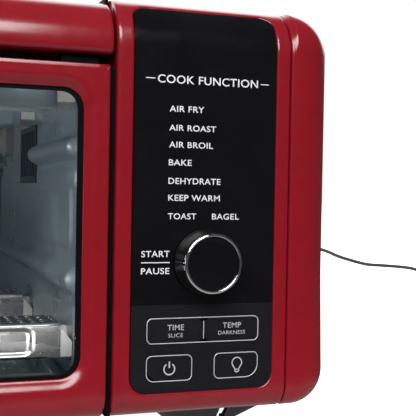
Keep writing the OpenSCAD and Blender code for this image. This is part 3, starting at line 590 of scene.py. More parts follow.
def capParts(inner, outer, front, back):
    # the outline seen from the front, followed from the top of the inner edge round the outside to the
    # bottom, and drawn in over a quarter circle of changing radius at the front and a fixed one at the rear
    cap, vents = endCap, endCap["vents"]
    low, high = bodySection["low"], bodySection["high"]
    ventZ = sorted({z for row in vents["rows"] for z in row}, reverse=True)
    sideZ = np.unique(np.concatenate([np.linspace(high - cap["rTop"], low + cap["rLow"], 34), ventZ]))[::-1]
    topArc = np.radians(np.linspace(0, 90, 19))
    lowArc = np.radians(np.linspace(90, 180, 17))
    corner, side = cap["frontCorner"], cap["frontSide"]
    topX = np.linspace(inner, outer - cap["rTop"], 9)[:-1]
    lowX = np.linspace(outer - cap["rLow"], inner, 5)[1:]
    base = np.concatenate([
        np.stack([topX, np.full(8, high)], 1),
        np.stack([outer - cap["rTop"] * (1 - np.sin(topArc)), high - cap["rTop"] * (1 - np.cos(topArc))], 1),
        np.stack([np.full(len(sideZ) - 2, outer), sideZ[1:-1]], 1),
        np.stack([outer - cap["rLow"] * (1 - np.sin(lowArc)), low + cap["rLow"] * (1 + np.cos(lowArc))], 1),
        np.stack([lowX, np.full(4, low)], 1),
    ])
    angle = np.concatenate([np.zeros(8), topArc, np.full(len(sideZ) - 2, quarter), lowArc,
                            np.full(4, math.pi)])
    out = np.stack([np.sin(angle), np.cos(angle)], 1)
    # the front radius eases from the housing's own at the joint to the side's, and again down the side
    ease = np.clip((topX - inner) / (outer - cap["rTop"] - inner), 0, 1)
    ease = ease * ease * (3 - 2 * ease)
    lowStart = cap["rLow"] - 2
    radius = np.concatenate([
        cap["frontTop"] + (corner - cap["frontTop"]) * ease, np.interp(topArc, [0, quarter], [corner, side]),
        np.interp(sideZ[1:-1], [low + cap["rLow"], low + cap["rLow"] + 45], [lowStart, side]),
        np.interp(lowArc, [quarter, 2.6, math.pi], [lowStart, 13, cap["frontLow"]]),
        np.full(4, cap["frontLow"]),
    ])
    slotFront = vents["first"] + vents["pitch"] * np.arange(vents["count"])
    slotY = np.concatenate([slotFront, slotFront + vents["width"]])
    sideY = np.unique(np.concatenate([np.linspace(front + cap["frontTop"], back - cap["rear"], 40), slotY]))
    turn = np.linspace(0, quarter, 15)
    columns = []
    for t in turn:
        p = base - out * (radius * (1 - math.sin(t)))[:, None]
        columns.append(np.stack([p[:, 0], front + radius * (1 - math.cos(t)), p[:, 1]], 1))
    for y in sideY[1:]:
        columns.append(np.stack([base[:, 0], np.full(len(base), y), base[:, 1]], 1))
    for t in turn[1:]:
        p = base - out * cap["rear"] * (1 - math.cos(t))
        columns.append(np.stack([p[:, 0], np.full(len(p), back - cap["rear"] * (1 - math.sin(t))), p[:, 1]],
                                1))
    points = np.stack(columns)
    flat, faces = gridPart(points)
    middle = flat[np.array(faces)].mean(1)
    slot = np.zeros(len(faces), bool)
    for y0 in slotFront:
        for z0, z1 in vents["rows"]:
            inY = (middle[:, 1] > y0) & (middle[:, 1] < y0 + vents["width"])
            slot |= inY & (middle[:, 2] > z0) & (middle[:, 2] < z1) & (middle[:, 0] > outer - 0.1)
    kept = [face for face, gone in zip(faces, slot) if not gone]
    count, last = len(base), (len(columns) - 1) * len(base)
    straight = np.linspace(low + cap["frontLow"], high - cap["frontTop"], 61)[1:-1]
    joint = np.stack([np.full(len(straight), inner), np.full(len(straight), front), straight], 1)
    flatFront = (list(range(count)) + list(range(len(flat), len(flat) + len(joint))))[::-1]
    flatRear = list(range(last, last + count))
    # where the joint's edge needs points: under the body, up its front and over the top
    beyond = sideY[1:] - front
    rLow, rHigh = bodySection["rLow"], bodySection["rHigh"]
    under = np.concatenate([low + rLow * (2 - quarter) - beyond[::-1], low + rLow - rLow * turn[::-1]])
    over = np.concatenate([high - rHigh + rHigh * turn, high - rHigh * (2 - quarter) + beyond])
    rows = np.concatenate([under, straight, over])
    return (np.concatenate([flat, joint]), kept + [flatFront, flatRear]), rows


def makeCaps():  # the outer shell, a rounded edge at its joint and a short wall going in from there
    inner, outer, front, back = capLow[0], capHigh[0], capLow[1], capHigh[1]
    lip = endCap["lip"]
    main, rows = capParts(inner + lip, outer, front, back)
    a = rows[None, :]
    t = np.linspace(0, quarter, 6)[:, None]
    edge = onSection(bodySection, inner + lip * (1 - np.sin(t)), a, lip * (1 - np.cos(t)))
    down = onSection(bodySection, np.full((1, 1), inner), a, np.full((1, 1), 3.5))
    right = [main, gridPart(np.concatenate([edge, down]))]
    makePiece("capRight", "casing", "redEnamel", right, ["right_end_cap"], thick=endCap["wall"])
    mirrored = [(points * [-1, 1, 1], [face[::-1] for face in faces]) for points, faces in right]
    makePiece("capLeft", "casing", "redEnamel", mirrored, ["left_end_cap"], thick=endCap["wall"])


makeHousing()
makeLens()
makeCaps()
print("housing done")

# ---- door

door = {
    "rLow": 12.0, "rHigh": 1.3, "fillet": 1.3,
    "glassMargin": 5.0,  # how far the glass reaches past the window
    "windowCorner": 9.0,
    "bevel": 5.2, "bevelDepth": 2.1,
    "rim": 0.6,  # radius at the window's edge
    "wallDepth": 4.9,
}
glassLow, glassHigh = boxOf("door_glass")
windowX = (glassLow[0] + door["glassMargin"], glassHigh[0] - door["glassMargin"])
windowZ = (glassLow[2] + door["glassMargin"], glassHigh[2] - door["glassMargin"])


def makeDoorFrame():  # a shell with a window: sloping bevel, small rounded rim, wall back to the glass
    section = {"front": doorLow[1], "low": doorLow[2], "high": doorHigh[2],
               "rHigh": door["rHigh"], "rLow": door["rLow"]}
    t = np.linspace(0, 1, 9)
    slope = [(door["bevel"] + (door["rim"] - door["bevel"]) * s, door["bevelDepth"] * s ** 1.7) for s in t]
    q = np.linspace(0.35, 1, 5) * quarter
    rim = [(door["rim"] * (1 - math.sin(v)), door["bevelDepth"] + door["rim"] * (1 - math.cos(v))) for v in q]
    lip = slope + rim + [(0, door["wallDepth"])]
    hole = {"x": windowX, "a": windowZ, "radii": [door["windowCorner"]] * 4}
    parts = shellFront(section, (doorLow[0], doorHigh[0]), doorHigh[1], door["fillet"], hole, lip,
                       sides=(120, 90), border=1.2)
    makePiece("doorFrame", "door", "redEnamel", parts, ["door_frame"], thick=2.2)


handle = {"rBack": 3.0, "rLow": 3.0, "rTop": 20.0, "fillet": 1.6}


def makeHandle():  # a bar with a flat front and foot, and one large arc over the top to its back
    low, high = boxOf("handle_bar")
    front, back, bottom, top = low[1], high[1], low[2], high[2]
    r = handle["rTop"]
    centreZ = top - r
    reach = math.degrees(math.acos((back - 1.2 - front - r) / r))  # where the top arc meets the back
    backZ = centreZ + r * math.sin(math.radians(reach))
    profile = np.concatenate([
        arc((front + handle["rLow"], bottom + handle["rLow"]), handle["rLow"], 180, 270, 8),
        arc((back - handle["rLow"], bottom + handle["rLow"]), handle["rLow"], 270, 360, 8),
        arc((back - 1.2, backZ - 1.2), 1.2, 0, 80, 5),
        arc((front + r, centreZ), r, reach, 180, 24),
    ])
    parts = closedBar(profile, (low[0], high[0]), handle["fillet"])
    makePiece("handleBar", "door", "redEnamel", parts, ["handle_bar"], sharp=40)


makeDoorFrame()
makeHandle()
print("door done")

# ---- inside of the oven

cavity = {
    "x": (-214, 137), "y": (-161, 130), "z": (24.7, 160), "sheet": 0.9,
    "rail": {"z": (130, 70), "y": ((-148, -32), (-148, 118)), "radius": (5.2, 6.0), "height": 5.0},
    "fan": ((-33, 21), (117, 145.5)),
    "lamp": (75, 142, 10.5),
}


def sheetPart(corner, along, up, normal, length, height, steps, bulge, flip, holes=None):
    # a flat sheet from a corner, pushed along its normal by a function of the distances along both sides
    u = np.linspace(0, length, steps[0])[None, :, None]
    v = np.linspace(0, height, steps[1])[:, None, None]
    corner, along, up, normal = (np.array(w, float) for w in (corner, along, up, normal))
    points = corner + along * u + up * v + normal * bulge(u, v)
    flat, faces = gridPart(points, flip=flip)
    if holes:
        middle = flat[np.array(faces)].mean(1)
        faces = [face for face, gone in zip(faces, holes(middle)) if not gone]
    return flat, faces


def rounded(d, width):  # from 1 well inside an edge to 0 outside it
    t = np.clip(0.5 - d / width, 0, 1)
    return t * t * (3 - 2 * t)


def boxDistance(x, z, xs, zs, r):  # distance to a rounded rectangle's edge, negative inside it
    dx = np.abs(x - (xs[0] + xs[1]) / 2) - (xs[1] - xs[0]) / 2 + r
    dz = np.abs(z - (zs[0] + zs[1]) / 2) - (zs[1] - zs[0]) / 2 + r
    return np.hypot(np.maximum(dx, 0), np.maximum(dz, 0)) + np.minimum(np.maximum(dx, dz), 0) - r


def sideBulge(u, v):  # the side wall's pressed rails, panels and front edge, as a height over the flat sheet
    y, z = u + cavity["y"][0], v + cavity["z"][0]
    rail = cavity["rail"]
    out = 0 * y * z
    for zc, (y0, y1), r in zip(rail["z"], rail["y"], rail["radius"]):
        d = np.hypot(y - np.clip(y, y0, y1), z - zc)
        out = out + rail["height"] * np.sqrt(np.clip(1 - (d / r) ** 2, 0, 1)) ** 1.2
    out = out + 1.0 * rounded(boxDistance(y, z, (-139, -40), (84, 110), 6), 4)
    out = out + 1.0 * rounded(boxDistance(y, z, (-150, -40), (112, 120), 3), 4)
    out = out + 0.9 * rounded(boxDistance(y, z, (-116, -61), (138, 143), 2.4), 3)
    out = out + 0.8 * rounded(boxDistance(y, z, (-150, 120), (44, 58), 5), 4)
    return out - 0.9 * rounded(y + 150, 5)


def makeCavity():
    (x0, x1), (y0, y1), (z0, z1) = cavity["x"], cavity["y"], cavity["z"]
    (fy0, fy1), (fz0, fz1) = cavity["fan"]
    ly, lz, lr = cavity["lamp"]

    def openings(p):
        window = (p[:, 1] > fy0) & (p[:, 1] < fy1) & (p[:, 2] > fz0) & (p[:, 2] < fz1)
        return window | (np.hypot(p[:, 1] - ly, p[:, 2] - lz) < lr)

    def backBulge(u, v):
        return 2.5 * rounded(boxDistance(u, v, (30, x1 - x0 - 30), (30, 110), 12), 6)

    def plain(u, v):
        return 0.5 * np.sin(u / 47.0) * np.sin(v / 31.0)

    long, deep, tall = x1 - x0, y1 - y0, z1 - z0
    parts = [
        sheetPart((x1, y0, z0), (0, 1, 0), (0, 0, 1), (-1, 0, 0), deep, tall, (220, 110), sideBulge, True,
                  openings),
        sheetPart((x0, y0, z0), (0, 1, 0), (0, 0, 1), (1, 0, 0), deep, tall, (160, 80), sideBulge, False),
        sheetPart((x0, y1, z0), (1, 0, 0), (0, 0, 1), (0, -1, 0), long, tall, (120, 60), backBulge, False),
        sheetPart((x0, y0, z1), (1, 0, 0), (0, 1, 0), (0, 0, 0.2), long, deep, (80, 60), plain, True),
        sheetPart((x0, y0, z0), (1, 0, 0), (0, 1, 0), (0, 0, 0), long, deep, (20, 20), plain, False),
    ]
    makePiece("cavityWalls", "casing", "wallSteel", parts, ["cavity_liner"],
              thick=cavity["sheet"], sharp=50)


trough = {
    "x": (-207, 131.3), "deep": 28, "low": 35, "high": 50.5,
    "upperLow": 147,  # lower edge of the reflectors under the ceiling
    "hole": 2.0, "pitch": 4.8, "sheet": 0.7,
}


def guardPart(x, y, z, columns, rows, hole):
    # a flat sheet of rectangular cells, each with a round hole in its middle
    angle = np.linspace(0, 2 * math.pi, 16, endpoint=False)
    circle = np.stack([np.cos(angle), np.sin(angle)], 1)
    square = circle / np.abs(circle).max(1)[:, None]
    wide, deep = (x[1] - x[0]) / columns, (y[1] - y[0]) / rows
    middleX, middleY = x[0] + (np.arange(columns) + 0.5) * wide, y[0] + (np.arange(rows) + 0.5) * deep
    centres = np.stack(np.meshgrid(middleX, middleY, indexing="ij"), -1).reshape(-1, 1, 1, 2)
    rings = centres + np.stack([square * [wide / 2, deep / 2], circle * hole, circle * (hole - 0.25)])
    height = np.broadcast_to(np.reshape([z, z, z - 0.35], (3, 1, 1)), rings.shape[:3] + (1,))
    cells = np.arange(columns * rows)[:, None, None] * 3 * len(angle)
    faces = (cells + gridFaces(3, len(angle), closeCols=True)).reshape(-1, 4)
    return np.concatenate([rings, height], -1).reshape(-1, 3), faces.tolist()


def lowerTrough(name, y, replaced):  # a bent sheet with a pressed panel in its face, and a guard over its top
    (x0, x1), deep, low, high = trough["x"], trough["deep"], trough["low"], trough["high"]
    top = high - 1.2

    def pressed(u, v):
        d = boxDistance(u + x0, v + low, (x0 + 12, x1 - 13), (low + 2, top - 1.2), 3.2)
        return 1.2 * rounded(d, 2.2)

    face = sheetPart((x0, y, low), (1, 0, 0), (0, 0, 1), (0, 1, 0), x1 - x0, top - low, (330, 34), pressed,
                     False)
    bend = arc((y + 1.2, top), 1.2, 180, 90, 5)
    rest = [(y + deep, high), (y + deep, low), (y, low)]
    x = np.linspace(x0, x1, 60)

    def strip(profile):
        profile = np.array(profile, float)
        points = np.empty((len(profile), len(x), 3))
        points[..., 0], points[..., 1], points[..., 2] = x, profile[:, :1], profile[:, 1:]
        return gridPart(points)

    columns = round((x1 - x0) / trough["pitch"])
    guard = guardPart((x0, x1), (y + 2.4, y + deep), high, columns, 4, trough["hole"])
    makePiece(name + "Guard", "casing", "guardSteel", [guard], thick=0.5, sharp=50)
    parts = [face, strip(bend.tolist() + [(y + 2.4, high)]), strip(rest)]
    makePiece(name, "casing", "troughSteel", parts, [replaced], thick=trough["sheet"],
              sharp=50)


def upperTroughs(ys):  # the front and rear sides of the upper reflectors, hanging from the ceiling
    (x0, x1), deep, low, top = trough["x"], trough["deep"], trough["upperLow"], cavity["z"][1]
    x = np.linspace(x0, x1 - 3, 60)
    parts = []
    for y in ys:
        hem = [(y + 1.2, low + 1.2), (y + 0.5, low + 0.25), (y, low), (y, low + 1)]
        for profile in (hem + [(y + 0.6, top - 6), (y, top - 4), (y, top)],
                        [(y + deep, top), (y + deep, low)]):
            profile = np.array(profile, float)
            points = np.empty((len(profile), len(x), 3))
            points[..., 0], points[..., 1], points[..., 2] = x, profile[:, :1], profile[:, 1:]
            parts.append(gridPart(points))
    makePiece("upperTroughs", "casing", "wallSteel", parts, ["upper_reflectors"],
              thick=0.8, sharp=50)


def platePart(outline, y, thick):
    # a flat plate with its outline given in X and Z, counterclockwise seen from the front
    outline = np.array(outline, float)
    n = len(outline)
    front = np.column_stack([outline[:, 0], np.full(n, y), outline[:, 1]])
    points = np.concatenate([front, front + [0, thick, 0]])
    faces = [list(range(n)), list(range(n, 2 * n))[::-1]]
    faces += [[(k + 1) % n, k, k + n, (k + 1) % n + n] for k in range(n)]
    return points, faces


bracket = {"low": 35.2, "shoulder": 42, "high": 47.5, "reach": 5.4, "upper": (150, 159.5), "thick": 1}


def makeBrackets(ys):  # plates that carry the ends of the troughs on the side walls
    x0, x1 = trough["x"]
    low, shoulder, high, reach = (bracket[k] for k in ("low", "shoulder", "high", "reach"))
    upLow, upHigh = bracket["upper"]
    foot = [(x1 + 0.1, low), (x1 + reach, low), (x1 + reach, shoulder)]
    plates = []
    for y in ys:
        plates += [
            (foot + [(x1 + 0.9, high), (x1 + 0.1, high + 0.5)], y + 0.2),
            (foot + [(x1 + 0.1, high)], y + 26.5),
            ([(x1 - 2.6, upLow), (x1 + reach, upLow), (x1 + reach, upHigh), (x1 - 2.6, upHigh)], y + 1),
            ([(x0 - 6.5, low), (x0 - 0.1, low), (x0 - 0.1, high), (x0 - 6.5, shoulder)], y + 0.2),
        ]
    parts = [platePart(outline, y, bracket["thick"]) for outline, y in plates]
    makePiece("elementBrackets", "casing", "paleBracket", parts, bevel=0.2)


def lightInside(names):  # pieces that the inside lamps reach
    for name in names:
        insideOnly.objects.link(bpy.data.objects[name])


makeCavity()
unitY = (boxOf("lower_reflector_front")[0][1], boxOf("lower_reflector_rear")[0][1])
lowerTrough("frontTrough", unitY[0], "lower_reflector_front")
lowerTrough("rearTrough", unitY[1], "lower_reflector_rear")
upperTroughs(unitY)
makeBrackets(unitY)
lightInside(["cavityWalls", "frontTrough", "rearTrough", "upperTroughs", "elementBrackets"])
print("inside done")

# ---- knob

knob = {"ring": 12.8, "face": 11.5, "steps": 160}


def makeKnob():  # three turned parts: a flared skirt, a bright ring and a slightly dished face
    skirtLow, skirtHigh = boxOf("knob_skirt")
    ringLow, ringHigh = boxOf("knob_ring")
    centre = ((skirtLow[0] + skirtHigh[0]) / 2, bodySection["front"], (skirtLow[2] + skirtHigh[2]) / 2)
    top = centre[1] - ringLow[1]
    r, f = knob["ring"], knob["face"]
    skirt = [(0, 8.6), (r - 0.25, 8.6), (r - 0.05, 8.4), (r, 8.1), (r + 0.15, 6.8), (r + 0.5, 4.4),
             (r + 1.0, 2.4), (r + 1.3, 1.9), (r + 1.35, 1.6), (r + 1.2, 1.45), (r + 0.7, 1.5), (r - 2.5, 6.4),
             (5.5, 6.4), (5.5, 1.6), (3.05, 1.6), (3.05, 8.2), (0, 8.2)]
    ring = [(f, 8.6), (f, top - 0.5), (f + 0.05, top - 0.2), (f + 0.15, top - 0.06), (f + 0.35, top),
            (r - 0.6, top - 0.06), (r - 0.22, top - 0.25), (r - 0.03, top - 0.6), (r, top - 1.0), (r, 8.6),
            (f, 8.6)]
    face = [(0, top - 1.25), (3, top - 1.22), (6, top - 1.12), (8.5, top - 0.98), (10.2, top - 0.82),
            (f - 0.3, top - 0.62), (f - 0.1, top - 0.7), (f - 0.05, top - 1.2), (f - 0.05, 8.6), (0, 8.6)]
    skirt, ring, face = (turnedParts(centre, profile, knob["steps"]) for profile in (skirt, ring, face))
    makePiece("knobSkirt", "knob", "knobBlack", skirt, ["knob_skirt"])
    makePiece("knobRing", "knob", "chrome", ring, ["knob_ring"], sharp=50)
    makePiece("knobFace", "knob", "blackGlass", face, ["knob_face"])


makeKnob()
print("knob done")

# ---- mains cord

mains = {
    "diameter": 3.2, "sides": 16,
    "coilRadius": 17.5, "coilCentre": (660, 215.5), "turns": 4.25, "pitch": 3.2,
    # the route from the strain relief to the coil, and from the coil to the plug
    "route": [
        (205, 198, 86), (205, 207, 86), (206, 215, 86), (210, 223, 86), (217, 229, 86), (226, 232, 85.8),
        (250, 233, 85), (290, 233, 82.5), (330, 233, 79), (370, 233, 74), (410, 233, 67), (455, 233, 56.8),
        (473, 233, 50.3), (491, 233, 45.2), (506, 233, 41.9), (523, 233, 40.7), (547, 233, 38.7),
        (562, 233, 36), (585, 233, 28), (607, 233, 18), (627, 233, 9), (644, 233, 3.4), (660, 233, 1.65),
    ],
    "tail": [
        (677.5, 205, 15.2), (677.5, 192, 13.4), (677.5, 176, 10.2), (677.5, 160, 8.4), (677.5, 142, 8.2),
        (677.5, 124, 8.5), (677.5, 114, 8.5),
    ],
}


def smoothLine(points, spacing):
    # Catmull-Rom curve through the points, in steps of about that spacing
    p = np.array(points, float)
    ahead = np.concatenate([p[1:], 2 * p[-1:] - p[-2:-1]])
    behind = np.concatenate([2 * p[:1] - p[1:2], p[:-1]])
    out = []
    for k in range(len(p) - 1):
        n = max(1, round(np.linalg.norm(p[k + 1] - p[k]) / spacing))
        t = (np.arange(n) / n)[:, None]
        m0, m1 = (ahead[k] - behind[k]) / 2, (ahead[k + 1] - behind[k + 1]) / 2
        out.append((2 * t**3 - 3 * t**2 + 1) * p[k] + (t**3 - 2 * t**2 + t) * m0
                   + (3 * t**2 - 2 * t**3) * p[k + 1] + (t**3 - t**2) * m1)
    return np.concatenate(out + [p[-1:]])


def cordPath():  # the route, a helix that climbs one pitch a turn, and the tail, as one smooth line
    turns = np.arange(1, round(mains["turns"] * 20) + 1) / 20
    angle = quarter - 2 * math.pi * turns
    (cx, cy), r = mains["coilCentre"], mains["coilRadius"]
    height = mains["diameter"] / 2 + 0.05 + mains["pitch"] * turns
    coil = np.stack([cx + r * np.cos(angle), cy + r * np.sin(angle), height], 1)
    return smoothLine(mains["route"] + coil.tolist() + mains["tail"], 3.0)


def tubeParts(path, radius, sides):
    # a circle carried along a path that is never upright, with a flat end face at each end
    ahead = np.gradient(path, axis=0)
    ahead /= np.linalg.norm(ahead, axis=1)[:, None]
    side = np.cross(ahead, [0, 0, 1])
    side /= np.linalg.norm(side, axis=1)[:, None]
    up = np.cross(side, ahead)
    t = np.linspace(0, 2 * math.pi, sides, endpoint=False)[None, :, None]
    points = path[:, None] + radius * (np.cos(t) * side[:, None] + np.sin(t) * up[:, None])
    flat, faces = gridPart(points, closeCols=True, flip=True)
    last = (len(path) - 1) * sides
    return [(flat, faces + [list(range(sides)), list(range(last, last + sides))[::-1]])]


def loftParts(stations, x, z, sides=48):
    # rounded sections along Y: each is (y, half width, half height, squareness)
    y, w, h, n = (np.array(v, float)[:, None] for v in zip(*stations))
    t = np.linspace(0, 2 * math.pi, sides, endpoint=False)[None, :]
    px = x + w * np.sign(np.cos(t)) * np.abs(np.cos(t)) ** (2 / n)
    pz = z + h * np.sign(np.sin(t)) * np.abs(np.sin(t)) ** (2 / n)
    points = np.stack([px, y + 0 * t, pz], -1)
    flat, faces = gridPart(points, closeCols=True)
    last = (len(stations) - 1) * sides
    return [(flat, faces + [list(range(sides))[::-1], list(range(last, last + sides))])]


plug = {"ribs": 5, "ribDepth": 0.5}


def makeCord():  # the lead, its ribbed plug with two blades, and the ringed relief at its exit
    path = cordPath()
    tube = tubeParts(path, mains["diameter"] / 2, mains["sides"])
    lead = makePiece("mainsCord", "casing", "cordJacket", tube, ["cord_tube", "cord_coil"],
                     sharp=60)
    plugLow, plugHigh = boxOf("plug")
    x, z = (plugLow[0] + plugHigh[0]) / 2, plugHigh[2] / 2
    back, front = plugHigh[1], plugLow[1] + 16
    stations = [(back, 2.0, 2.0, 2), (back - 0.6, 2.7, 2.7, 2), (back - 6, 3.6, 3.5, 2),
                (back - 10, 4.9, 4.3, 2.2), (back - 13, 8.5, 7, 2.6), (back - 16, 10.4, 8.1, 3),
                (back - 19, 10.9, 8.4, 3.4)]
    for k in range(plug["ribs"]):
        y = back - 22 - 4 * k
        dip = plug["ribDepth"]
        stations += [(y, 11, 8.5, 3.4), (y - 1, 11, 8.5, 3.4), (y - 1.6, 11 - dip, 8.5 - dip, 3.4),
                     (y - 2.4, 11 - dip, 8.5 - dip, 3.4), (y - 3, 11, 8.5, 3.4)]
    stations += [(front + 1.4, 11, 8.5, 3.6), (front + 0.5, 10.7, 8.2, 3.6), (front, 10, 7.5, 3.6)]
    shape = loftParts(stations, x, z)
    body = makePiece("plugBody", "casing", "cordJacket", shape, ["plug"], sharp=40)
    blades = []
    for s in (-1, 1):
        section = roundedOutline((plugLow[1], front + 1), (z - 3, z + 3), (1.2, 0.1, 0.1, 1.2), (4, 4), 4)
        bladeX = x + s * 6.4
        blades += closedBar(section, (bladeX - 0.75, bladeX + 0.75), 0.15)
    prongs = makePiece("plugBlades", "casing", "brass", blades)
    low, high = boxOf("strain_relief")
    centre = ((low[0] + high[0]) / 2, 0, (low[2] + high[2]) / 2)
    rear = high[1]
    profile = [(0, low[1]), (7.3, low[1]), (7.5, low[1] + 0.2), (7.5, low[1] + 3), (6, low[1] + 3),
               (6, low[1] + 4), (8.3, low[1] + 4), (8.5, low[1] + 4.3), (8.5, low[1] + 6.7),
               (8.2, low[1] + 7)]
    for k in range(5):
        y, r = low[1] + 7.6 + 3.5 * k, 5.6 - 0.62 * k
        profile += [(r - 0.9, y), (r - 0.9, y + 0.8), (r, y + 1.1), (r - 0.15, y + 2.6), (r - 0.3, y + 2.9)]
    profile += [(2.5, rear - 0.2), (2.2, rear), (0, rear)]
    relief = makePiece("strainRelief", "casing", "blackRubber", turnedParts(centre, profile, 48, toRear=True),
                       ["strain_relief"])


makeCord()
print("cord done")

# ---- printed words and signs

ink = {"thick": 0.04}


def flatPiece(name, body, finish, outlineParts, front):
    # flat shapes given in X and Z, laid just in front of that plane
    parts = []
    for points, faces in outlineParts:
        near = np.stack([points[:, 0], np.full(len(points), front - ink["thick"]), points[:, 1]], 1)
        parts.append((near, faces))
    makePiece(name, body, finish, parts, sharp=30)


def wordPart(text, x, z, height, width=None, align="LEFT", bold=0.0):
    # letters of the plain built-in face as flat faces, scaled to a capital's height
    curve = bpy.data.curves.new("word", "FONT")
    curve.body, curve.size, curve.offset, curve.resolution_u = text, 1.0, bold, 4
    curve.space_character = 1.06
    holder = bpy.data.objects.new("word", curve)
    bpy.context.scene.collection.objects.link(holder)
    bpy.context.view_layer.update()
    mesh = bpy.data.meshes.new_from_object(holder.evaluated_get(bpy.context.evaluated_depsgraph_get()))
    points = np.zeros(len(mesh.vertices) * 3)
    mesh.vertices.foreach_get("co", points)
    points = points.reshape(-1, 3)[:, :2]
    faces = [list(f.vertices) for f in mesh.polygons]
    upward = mesh.polygons[0].normal.z > 0
    bpy.data.objects.remove(holder)
    bpy.data.curves.remove(curve)
    bpy.data.meshes.remove(mesh)
    low, high = points.min(0), points.max(0)
    scale = height / (high[1] - low[1])
    across = width / (high[0] - low[0]) if width else scale
    points = (points - low) * [across, scale]
    shift = {"LEFT": 0, "CENTER": points[:, 0].max() / 2, "RIGHT": points[:, 0].max()}[align]
    points += [x - shift, z - height / 2]
    return points, faces if upward else [face[::-1] for face in faces]


def strokePart(line, width, closed=False):
    # a band of one width along a line
    line = np.asarray(line, float)
    ahead = np.roll(line, -1, 0) - np.roll(line, 1, 0) if closed else np.gradient(line, axis=0)
    ahead /= np.linalg.norm(ahead, axis=1)[:, None]
    side = np.stack([ahead[:, 1], -ahead[:, 0]], 1) * width / 2
    points = np.concatenate([line + side, line - side])
    n = len(line)
    count = n if closed else n - 1
    faces = [[k, (k + 1) % n, (k + 1) % n + n, k + n] for k in range(count)]
    return points, faces


panelFront = bodySection["front"] + panel["depth"]
words = {
    "height": 2.6, "bold": 0.012,
    "left": 170.0,
    "rows": [("AIR FRY", 145.9, 15.6), ("AIR ROAST", 137.8, 21.2), ("AIR BROIL", 130.6, 19.9),
             ("BAKE", 123.0, 10.3),
             ("DEHYDRATE", 115.1, 23.7), ("KEEP WARM", 107.9, 23.5), ("TOAST", 100.0, 12.8)],
    "second": ("BAGEL", 190.0, 100.0, 12.6),
    "header": ("COOK FUNCTION", 187.5, 158.4, 46.0, 3.5),
    "dashes": ((159.3, 163.4), (211.8, 215.8)),
}


def makeWords():
    parts = [wordPart(text, words["left"], z, words["height"], width, bold=words["bold"])
             for text, z, width in words["rows"]]
    text, x, z, width = words["second"]
    parts.append(wordPart(text, x, z, words["height"], width, bold=words["bold"]))
    text, x, z, width, height = words["header"]
    parts.append(wordPart(text, x, z, height, width, "CENTER", words["bold"]))
    for x0, x1 in words["dashes"]:
        parts.append(strokePart([(x0, z), (x1, z)], 0.4))
    parts.append(wordPart("START", 158.5, 83.9, 2.7, 12.6, bold=words["bold"]))
    parts.append(wordPart("PAUSE", 158.5, 76.6, 2.7, 12.6, bold=words["bold"]))
    parts.append(strokePart([(158.5, 80.2), (171.2, 80.2)], 0.4))
    flatPiece("panelWords", "casing", "whiteInk", parts, panelFront)
    keyFront = boxOf("time_button")[0][1]
    timeParts = [wordPart("TIME", 174.4, 52.3, 2.4, 7.4, "CENTER", 0.004),
                 wordPart("SLICE", 174.4, 48.9, 1.7, 6.7, "CENTER")]
    tempParts = [wordPart("TEMP", 200.2, 52.5, 2.4, 8.6, "CENTER", 0.004),
                 wordPart("DARKNESS", 200.2, 49.3, 1.7, 12.6, "CENTER")]
    flatPiece("timeWords", "time_key", "silverPrint", timeParts, keyFront)
    flatPiece("tempWords", "temp_key", "silverPrint", tempParts, keyFront)


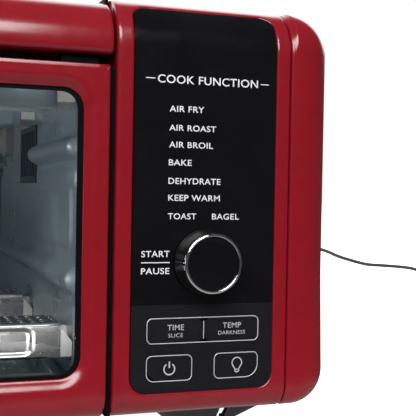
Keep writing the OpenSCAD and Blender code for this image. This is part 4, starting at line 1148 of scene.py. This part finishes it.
def makeSigns():  # a broken ring with a bar for power, and a bulb with a collar for the lamp
    front = boxOf("power_button")[0][1]
    low, high = boxOf("power_button")
    x, z = (low[0] + high[0]) / 2, (low[2] + high[2]) / 2
    ring = arc((x, z - 0.3), 2.4, 122, 418, 48)
    bar = [(x, z + 0.2), (x, z + 2.9)]
    flatPiece("powerSign", "power_key", "silverPrint", [strokePart(ring, 0.6), strokePart(bar, 0.7)], front)
    low, high = boxOf("light_button")
    x, z = (low[0] + high[0]) / 2 + 0.4, (low[2] + high[2]) / 2 + 0.1
    dome = arc((x, z + 1.0), 2.25, -38, 218, 36)
    neck = np.array([(x - 0.95, z - 1.7), (x - 0.95, z - 2.5), (x - 0.6, z - 3.0), (x, z - 3.15),
                     (x + 0.6, z - 3.0), (x + 0.95, z - 2.5), (x + 0.95, z - 1.7)])
    bulb = np.concatenate([dome, neck])
    collar = [(x - 0.95, z - 2.0), (x + 0.95, z - 2.0)]
    strokes = [strokePart(bulb, 0.5, True), strokePart(collar, 0.45)]
    flatPiece("lightSign", "light_key", "silverPrint", strokes, front)


trim = {"width": 0.44, "gap": 0.2, "corner": 2.3, "wide": 5.5}


def trimParts(line, closed):
    # a low half-round bead along a line in X and Z
    line = np.asarray(line, float)
    ahead = np.roll(line, -1, 0) - np.roll(line, 1, 0) if closed else np.gradient(line, axis=0)
    ahead /= np.linalg.norm(ahead, axis=1)[:, None]
    side = np.stack([ahead[:, 1], -ahead[:, 0]], 1)
    t = np.linspace(0, math.pi, 7)
    across = np.cos(t)[None, :, None] * side[:, None] * trim["width"] / 2
    flat = line[:, None] + across
    y = panelFront + 0.12 - np.sin(t)[None, :] * trim["width"] * 0.5 + 0 * flat[..., 0]
    points = np.stack([flat[..., 0], y, flat[..., 1]], -1)
    if closed:
        points = np.concatenate([points, points[:1]])
    return gridPart(points, flip=True)


def keyLine(names, radii):
    lows, highs = zip(*(boxOf(n) for n in names))
    low, high = np.min(lows, 0), np.max(highs, 0)
    grow = trim["gap"] + trim["width"] / 2
    x, z = ((low[k] - grow, high[k] + grow) for k in (0, 2))
    return roundedOutline(x, z, radii, (30, 14), 8)


def makeTrims():
    small, wide = trim["corner"], trim["wide"]
    parts = [trimParts(keyLine(["time_button", "temp_button"], [small] * 4), True),
             trimParts(keyLine(["power_button"], [small + 1, small, small, small]), True),
             trimParts(keyLine(["light_button"], [small, wide, small, small]), True)]
    low, high = boxOf("time_button")
    middle = (high[0] + boxOf("temp_button")[0][0]) / 2
    z = np.linspace(low[2] + 1, high[2] - 1, 8)
    parts.append(trimParts(np.stack([np.full(8, middle), z], 1), False))
    makePiece("keyTrims", "casing", "silverPrint", parts, ["button_trims"], sharp=60)


makeTrims()
makeWords()
makeSigns()
print("words and signs done")
